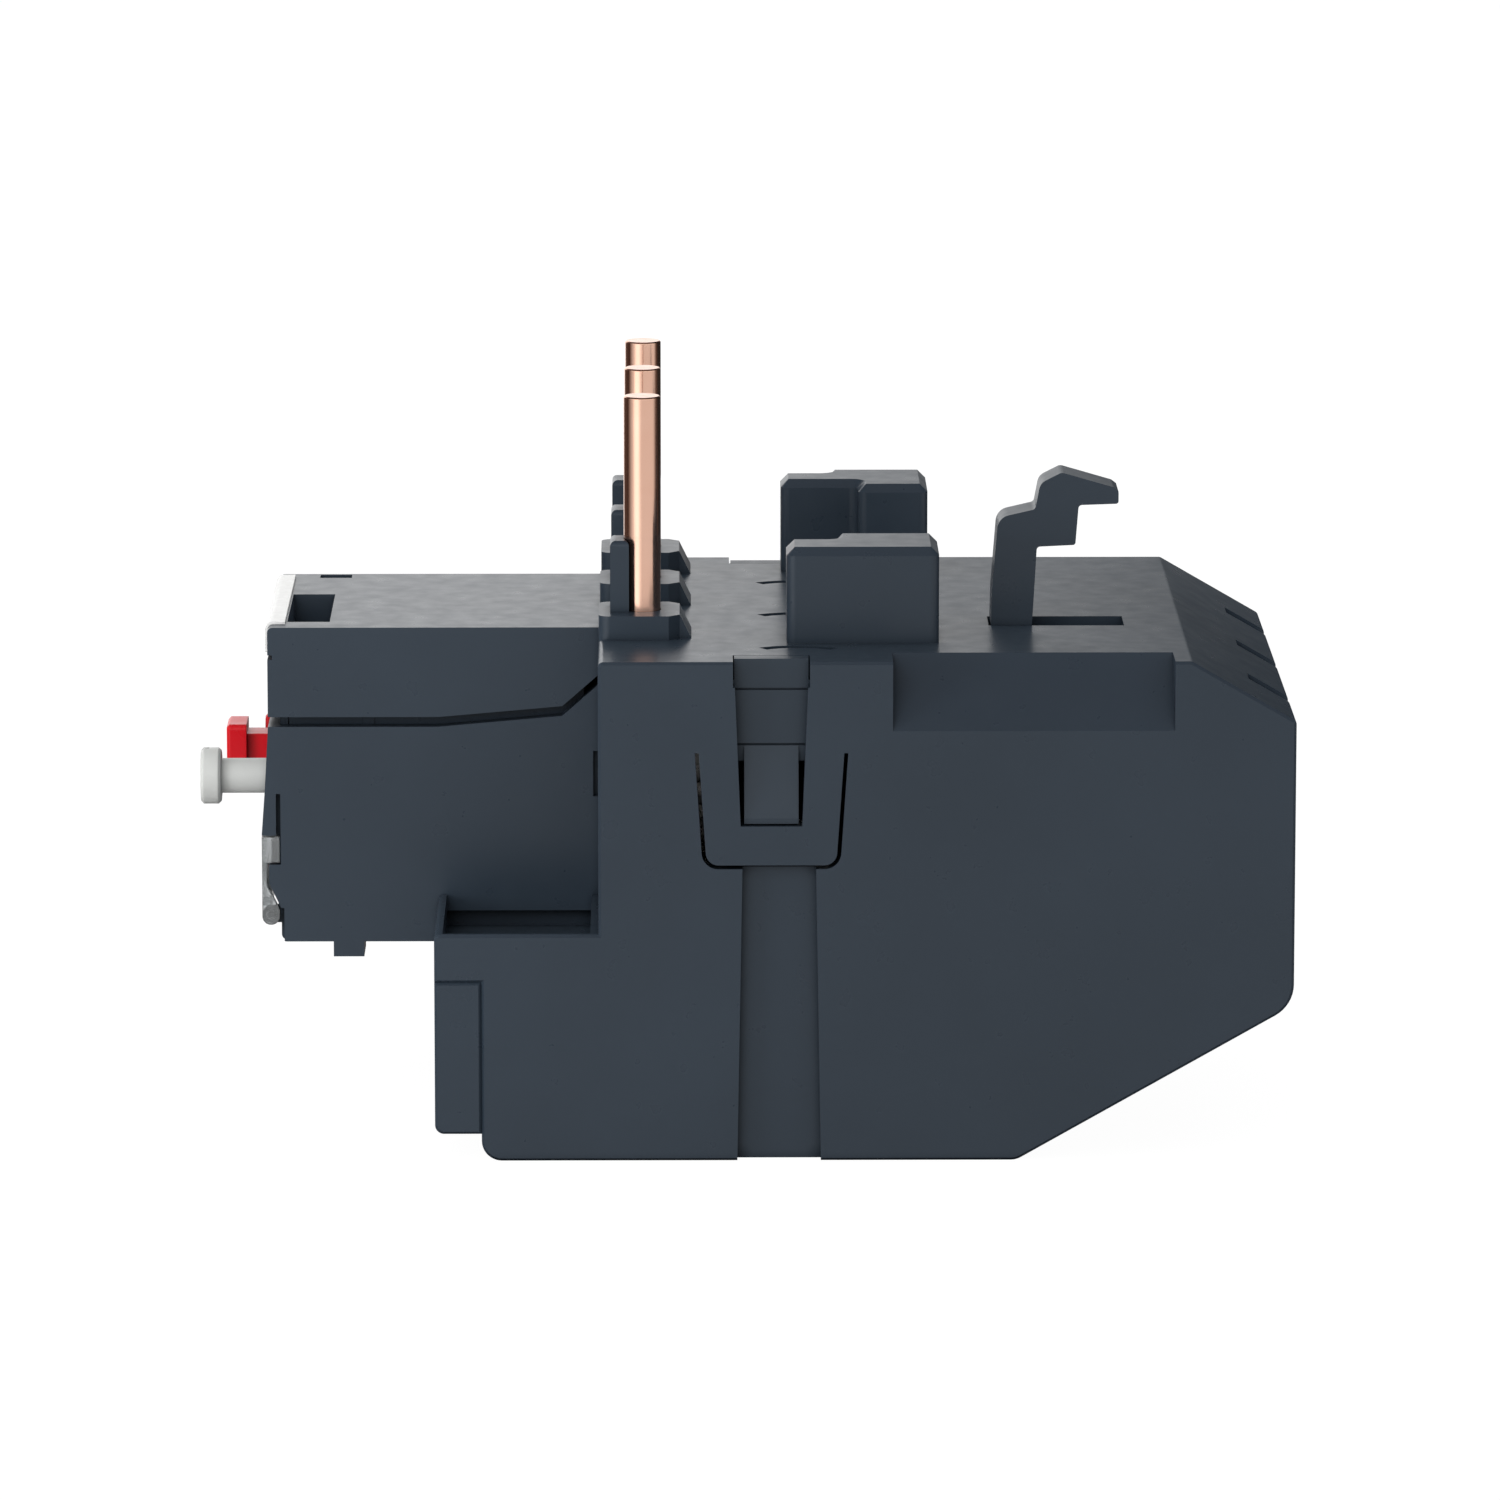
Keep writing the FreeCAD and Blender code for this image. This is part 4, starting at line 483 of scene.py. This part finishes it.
def moulded_plastic(name, colour, worn, roughness, grain):
    """Satin moulded plastic: fine grain, drifting colour and gloss, painted shade in gaps, worn
    edges.
    """
    material, tree, shader = new_material(name)
    drift = spread(tree, object_noise(tree, drift_noise), 0.0, 1.0)
    coloured = blend_colours(tree, drift, shaded(colour, moulded_shade), colour)
    rounded = None
    if worn is not None:
        rounded = rounded_normal(tree, moulded_corner)
        rubbed = maths(tree, "MULTIPLY", edge_mask(tree, rounded),
                       spread(tree, object_noise(tree, rub_noise), 0.25, 0.8))
        coloured = blend_colours(tree, rubbed, coloured, worn)
    # Painted shade: where ambient occlusion finds a narrow gap, the colour darkens toward the
    # painted gap shade and the gloss falls too.
    open_share = crevice_mask(tree, moulded_gap, gap_light)
    painted_gap_shade = shaded(colour, gap_shade_share)
    tree.links.new(blend_colours(tree, open_share, painted_gap_shade, coloured), shader.inputs["Base Color"])
    specular = shader.inputs["Specular IOR Level"]
    specular.default_value = moulded_specular
    tree.links.new(maths(tree, "MULTIPLY", open_share, moulded_specular), specular)
    gloss = object_noise(tree, gloss_noise)
    tree.links.new(spread(tree, gloss, roughness - 0.03, roughness + 0.04),
                   shader.inputs["Roughness"])
    tree.links.new(grain_bump(tree, object_noise(tree, grain_noise), grain, rounded),
                   shader.inputs["Normal"])
    return material


finishes = {name: moulded_plastic(name, *values) for name, values in plastics.items()}
print("plastics:", len(plastics))

# %% [markdown]
# ## Metals
# Drawn copper has fine lines along its length, and brass and steel are stamped or turned. Lines
# could be modelled, but they are finer than any mesh, so noise is stretched in the roughness and
# the bump. A faint tarnish shifts the colour in patches. The bimetals sit deep behind a slit, so
# the shade of the walls around them is also painted into their steel's colour.

# %% Metals
metal_corner = 0.00015
line_noise, patch_noise = 900.0, 160.0
line_depth = 0.000004
deep_light, painted_deep_shade = 0.1, (0.01, 0.01, 0.01)
metals = {  # name: (colour, tarnish, roughness, stretch of the lines, reach of the shade)
    "copper": ((0.95, 0.60, 0.46), (0.91, 0.55, 0.41), 0.19, (1, 1, 0.05), None),
    "contact_brass": ((0.78, 0.60, 0.30), (0.66, 0.48, 0.22), 0.3, (1, 1, 1), None),
    "steel": ((0.55, 0.55, 0.55), (0.48, 0.48, 0.48), 0.3, (1, 0.05, 1), 0.006),
    "zinc_steel": ((0.62, 0.62, 0.60), (0.54, 0.54, 0.53), 0.33, (1, 1, 1), None),
    "spring_steel": ((0.48, 0.47, 0.45), (0.4, 0.39, 0.38), 0.28, (1, 1, 1), None),
}


def worked_metal(name, colour, tarnish, roughness, stretch, shade):
    """Worked metal with fine lines and patches of tarnish."""
    material, tree, shader = new_material(name)
    shader.inputs["Metallic"].default_value = 1.0
    lines = object_noise(tree, line_noise, 4.0, stretch)
    patches = spread(tree, object_noise(tree, patch_noise), 0.0, 1.0)
    surface = blend_colours(tree, patches, tarnish, colour)
    if shade is not None:
        # Painted shade: where walls close in, the colour darkens toward a near-black painted
        # shade.
        surface = blend_colours(tree, crevice_mask(tree, shade, deep_light), painted_deep_shade, surface)
    tree.links.new(surface, shader.inputs["Base Color"])
    tree.links.new(spread(tree, lines, roughness - 0.06, roughness + 0.08),
                   shader.inputs["Roughness"])
    tree.links.new(grain_bump(tree, lines, line_depth, rounded_normal(tree, metal_corner)),
                   shader.inputs["Normal"])
    return material


for name, values in metals.items():
    finishes[name] = worked_metal(name, *values)
print("metals:", len(metals))

# %% [markdown]
# ## Label stock and clear cover
# The marker strip is bare satin label stock, left white for a marker pen, so fine noise stands
# for its fibres. The cover over the dial is smoked clear plastic. Full transmission would look
# like window glass, so a tinted, slightly rough one shows the dial through a haze.

# %% Label stock and clear cover
fibre_noise, fibre_depth, label_corner = 1500.0, 0.000003, 0.0001
haze_noise, ripple_noise, ripple_depth, cover_corner = 300.0, 900.0, 0.000002, 0.0002
cover_ior, cover_transmission = 1.58, 0.84


def label_stock():
    material, tree, shader = new_material("label_white")
    fibres = object_noise(tree, fibre_noise, 4.0)
    paper = spread(tree, fibres, 0.0, 1.0)
    tree.links.new(blend_colours(tree, paper, (0.70, 0.70, 0.69), (0.78, 0.78, 0.77)),
                   shader.inputs["Base Color"])
    tree.links.new(spread(tree, object_noise(tree, 500.0), 0.38, 0.5), shader.inputs["Roughness"])
    tree.links.new(grain_bump(tree, fibres, fibre_depth, rounded_normal(tree, label_corner)),
                   shader.inputs["Normal"])
    return material


def smoked_clear():
    material, tree, shader = new_material("clear_cover")
    shader.inputs["IOR"].default_value = cover_ior
    shader.inputs["Transmission Weight"].default_value = cover_transmission
    haze = object_noise(tree, haze_noise)
    smoke = spread(tree, haze, 0.0, 1.0)
    tree.links.new(blend_colours(tree, smoke, (0.44, 0.46, 0.47), (0.49, 0.51, 0.52)),
                   shader.inputs["Base Color"])
    tree.links.new(spread(tree, haze, 0.12, 0.18), shader.inputs["Roughness"])
    ripples = object_noise(tree, ripple_noise)
    tree.links.new(grain_bump(tree, ripples, ripple_depth, rounded_normal(tree, cover_corner)),
                   shader.inputs["Normal"])
    return material


finishes["label_white"] = label_stock()
finishes["clear_cover"] = smoked_clear()
print("finishes:", len(finishes))

# %% [markdown]
# ## Dressing the pieces
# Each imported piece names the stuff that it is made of. One loop puts the finish of that name on
# it, so no piece is dressed by hand and none is forgotten.

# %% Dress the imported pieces
for part in frame["record"]["subparts"]:
    for slot in nodes[part["node"]].material_slots:
        slot.material = finishes[part["material_slot"]]
print("dressed:", len(nodes), "pieces")

# %% [markdown]
# ## Dial scale
# The current is set with a round dial behind the clear cover. Fine raised strokes and the plain
# numbers 1 to 6 stand on the plate around it. They could be painted in the plate's material, but
# raised marks stay sharp and go along with the mesh. The plate leans a little, so a ray finds
# its surface under each stroke.

# %% Places on the plate
dial_low, dial_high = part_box("setting_dial")
dial_middle = Vector(((dial_low.x + dial_high.x) / 2, 0, (dial_low.z + dial_high.z) / 2))
stroke_inner, stroke_outer, long_outer = 4.35 * millimetre, 4.75 * millimetre, 5.0 * millimetre
stroke_width, long_width = 0.12 * millimetre, 0.2 * millimetre
stroke_step, stroke_steps = 12.5, 10    # degrees, and how many lie on each side of the top
number_ring, number_size = 6.2 * millimetre, 1.5 * millimetre
number_angles = (-125, -90, -55, 55, 90, 125)
print_height = 0.03 * millimetre
before_plate = -0.06


def on_plate(angle, radius):
    """Point on the plate at a clockwise angle from the top of the dial."""
    turn = math.radians(angle)
    point = dial_middle + Vector((math.sin(turn), 0, math.cos(turn))) * radius
    start = Vector((point.x, before_plate, point.z))
    return nodes["front_plate"].ray_cast(start, Vector((0, 1, 0)))[1]


print("dial middle:", [round(value / millimetre, 2) for value in dial_middle], "mm")

# %% Strokes
def raised_bar(start, end, width):
    """Corners and faces of a thin bar that lies on the plate from start to end."""
    along = (end - start).normalized()
    across = along.cross(Vector((0, 1, 0))) * width / 2
    lift = Vector((0, -print_height, 0))
    flat = [start - across, start + across, end + across, end - across]
    corners = flat + [corner + lift for corner in flat]
    faces = [(0, 1, 2, 3), (7, 6, 5, 4),
             (0, 4, 5, 1), (1, 5, 6, 2), (2, 6, 7, 3), (3, 7, 4, 0)]
    return corners, faces


def printed(name, mesh):
    """A white mark that stays on the housing."""
    mesh.materials.clear()
    mesh.materials.append(finishes["label_white"])
    mark = bpy.data.objects.new(name, mesh)
    scene.collection.objects.link(mark)
    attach(mark, "housing")


scale_corners, scale_faces = [], []
for step in range(-stroke_steps, stroke_steps + 1):
    angle = step * stroke_step
    has_number = angle in number_angles
    start = on_plate(angle, stroke_inner)
    end = on_plate(angle, long_outer if has_number else stroke_outer)
    corners, faces = raised_bar(start, end, long_width if has_number else stroke_width)
    first = len(scale_corners)
    scale_faces += [tuple(first + index for index in face) for face in faces]
    scale_corners += corners
scale_mesh = bpy.data.meshes.new("dial_scale")
scale_mesh.from_pydata(scale_corners, [], scale_faces)
printed("dial_scale", scale_mesh)
print("strokes:", 2 * stroke_steps + 1)

# %% Numbers
def number_mesh(text, centre):
    """A raised number as a mesh that faces the front."""
    curve = bpy.data.curves.new("number_" + text, "FONT")
    curve.body = text
    curve.size = number_size
    curve.extrude = print_height / 2
    curve.resolution_u = 3
    curve.align_x, curve.align_y = "CENTER", "CENTER"
    writing = bpy.data.objects.new("number_" + text, curve)
    scene.collection.objects.link(writing)
    bpy.context.view_layer.update()
    shown = writing.evaluated_get(bpy.context.evaluated_depsgraph_get())
    mesh = bpy.data.meshes.new_from_object(shown)
    bpy.data.objects.remove(writing)
    lifted = centre + Vector((0, -print_height / 2, 0))
    mesh.transform(Matrix.Translation(lifted) @ Matrix.Rotation(math.radians(90), 4, "X"))
    return mesh


for number, angle in enumerate(number_angles, 1):
    mesh = number_mesh(str(number), on_plate(angle, number_ring))
    printed("dial_number_" + str(number), mesh)
print("numbers:", len(number_angles))

# %% [markdown]
# ## Return springs
# Each push button has a coil spring. The imported model gives its envelope; here it is wound from
# round wire, with closed ends, inside that same envelope. A curve with a round section could do
# it too, but a mesh built ring by ring keeps the number of faces small.

# %% Return springs
wire_radius = 0.22 * millimetre
wire_sides, steps_per_turn = 8, 28
open_turns, closed_turns = 5, 1.25
closed_lead = 2.1 * wire_radius         # the closed turns lie almost side by side
button_travel = {"stop": 2.5 * millimetre, "reset": 2.5 * millimetre, "test": 1.0 * millimetre}


def coil_depth(turns, low, high):
    """How far back the wire is, after so many turns."""
    open_room = high.y - low.y - 2 * wire_radius - 2 * closed_turns * closed_lead
    at_start = min(turns, closed_turns)
    at_end = max(0.0, turns - closed_turns - open_turns)
    open_part = turns - at_start - at_end
    return (low.y + wire_radius + closed_lead * (at_start + at_end)
            + open_room / open_turns * open_part)


def coil_mesh(name, low, high):
    """Helix of round wire from the front of the envelope to its back."""
    centre = (low + high) / 2
    ring_radius = min(high.x - low.x, high.z - low.z) / 2 - wire_radius
    total = open_turns + 2 * closed_turns
    steps = int(total * steps_per_turn)
    backward = Vector((0, 1, 0))
    corners, faces = [], []
    for step in range(steps + 1):
        turns = total * step / steps
        angle = 2 * math.pi * turns
        outward = Vector((math.cos(angle), 0, math.sin(angle)))
        middle = Vector((centre.x, coil_depth(turns, low, high), centre.z)) + outward * ring_radius
        for side in range(wire_sides):
            roll = 2 * math.pi * side / wire_sides
            rim = math.cos(roll) * outward + math.sin(roll) * backward
            corners.append(middle + wire_radius * rim)
    for step in range(steps):
        here, there = step * wire_sides, (step + 1) * wire_sides
        for side in range(wire_sides):
            beside = (side + 1) % wire_sides
            faces.append((here + side, here + beside, there + beside, there + side))
    faces.append(tuple(range(wire_sides - 1, -1, -1)))
    faces.append(tuple(steps * wire_sides + side for side in range(wire_sides)))
    mesh = bpy.data.meshes.new(name)
    mesh.from_pydata(corners, [], faces)
    mesh.shade_smooth()
    mesh.materials.append(finishes["spring_steel"])
    return mesh


for button, travel in button_travel.items():
    spring, joint = button + "_spring", button + "_press"
    low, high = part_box(spring)
    coil = bpy.data.objects.new(spring + "_coil", coil_mesh(spring + "_coil", low, high))
    scene.collection.objects.link(coil)
    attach(coil, "housing")
    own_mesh(coil)
    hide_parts(spring)
print("springs wound:", len(button_travel), "turns:", open_turns + 2 * closed_turns)
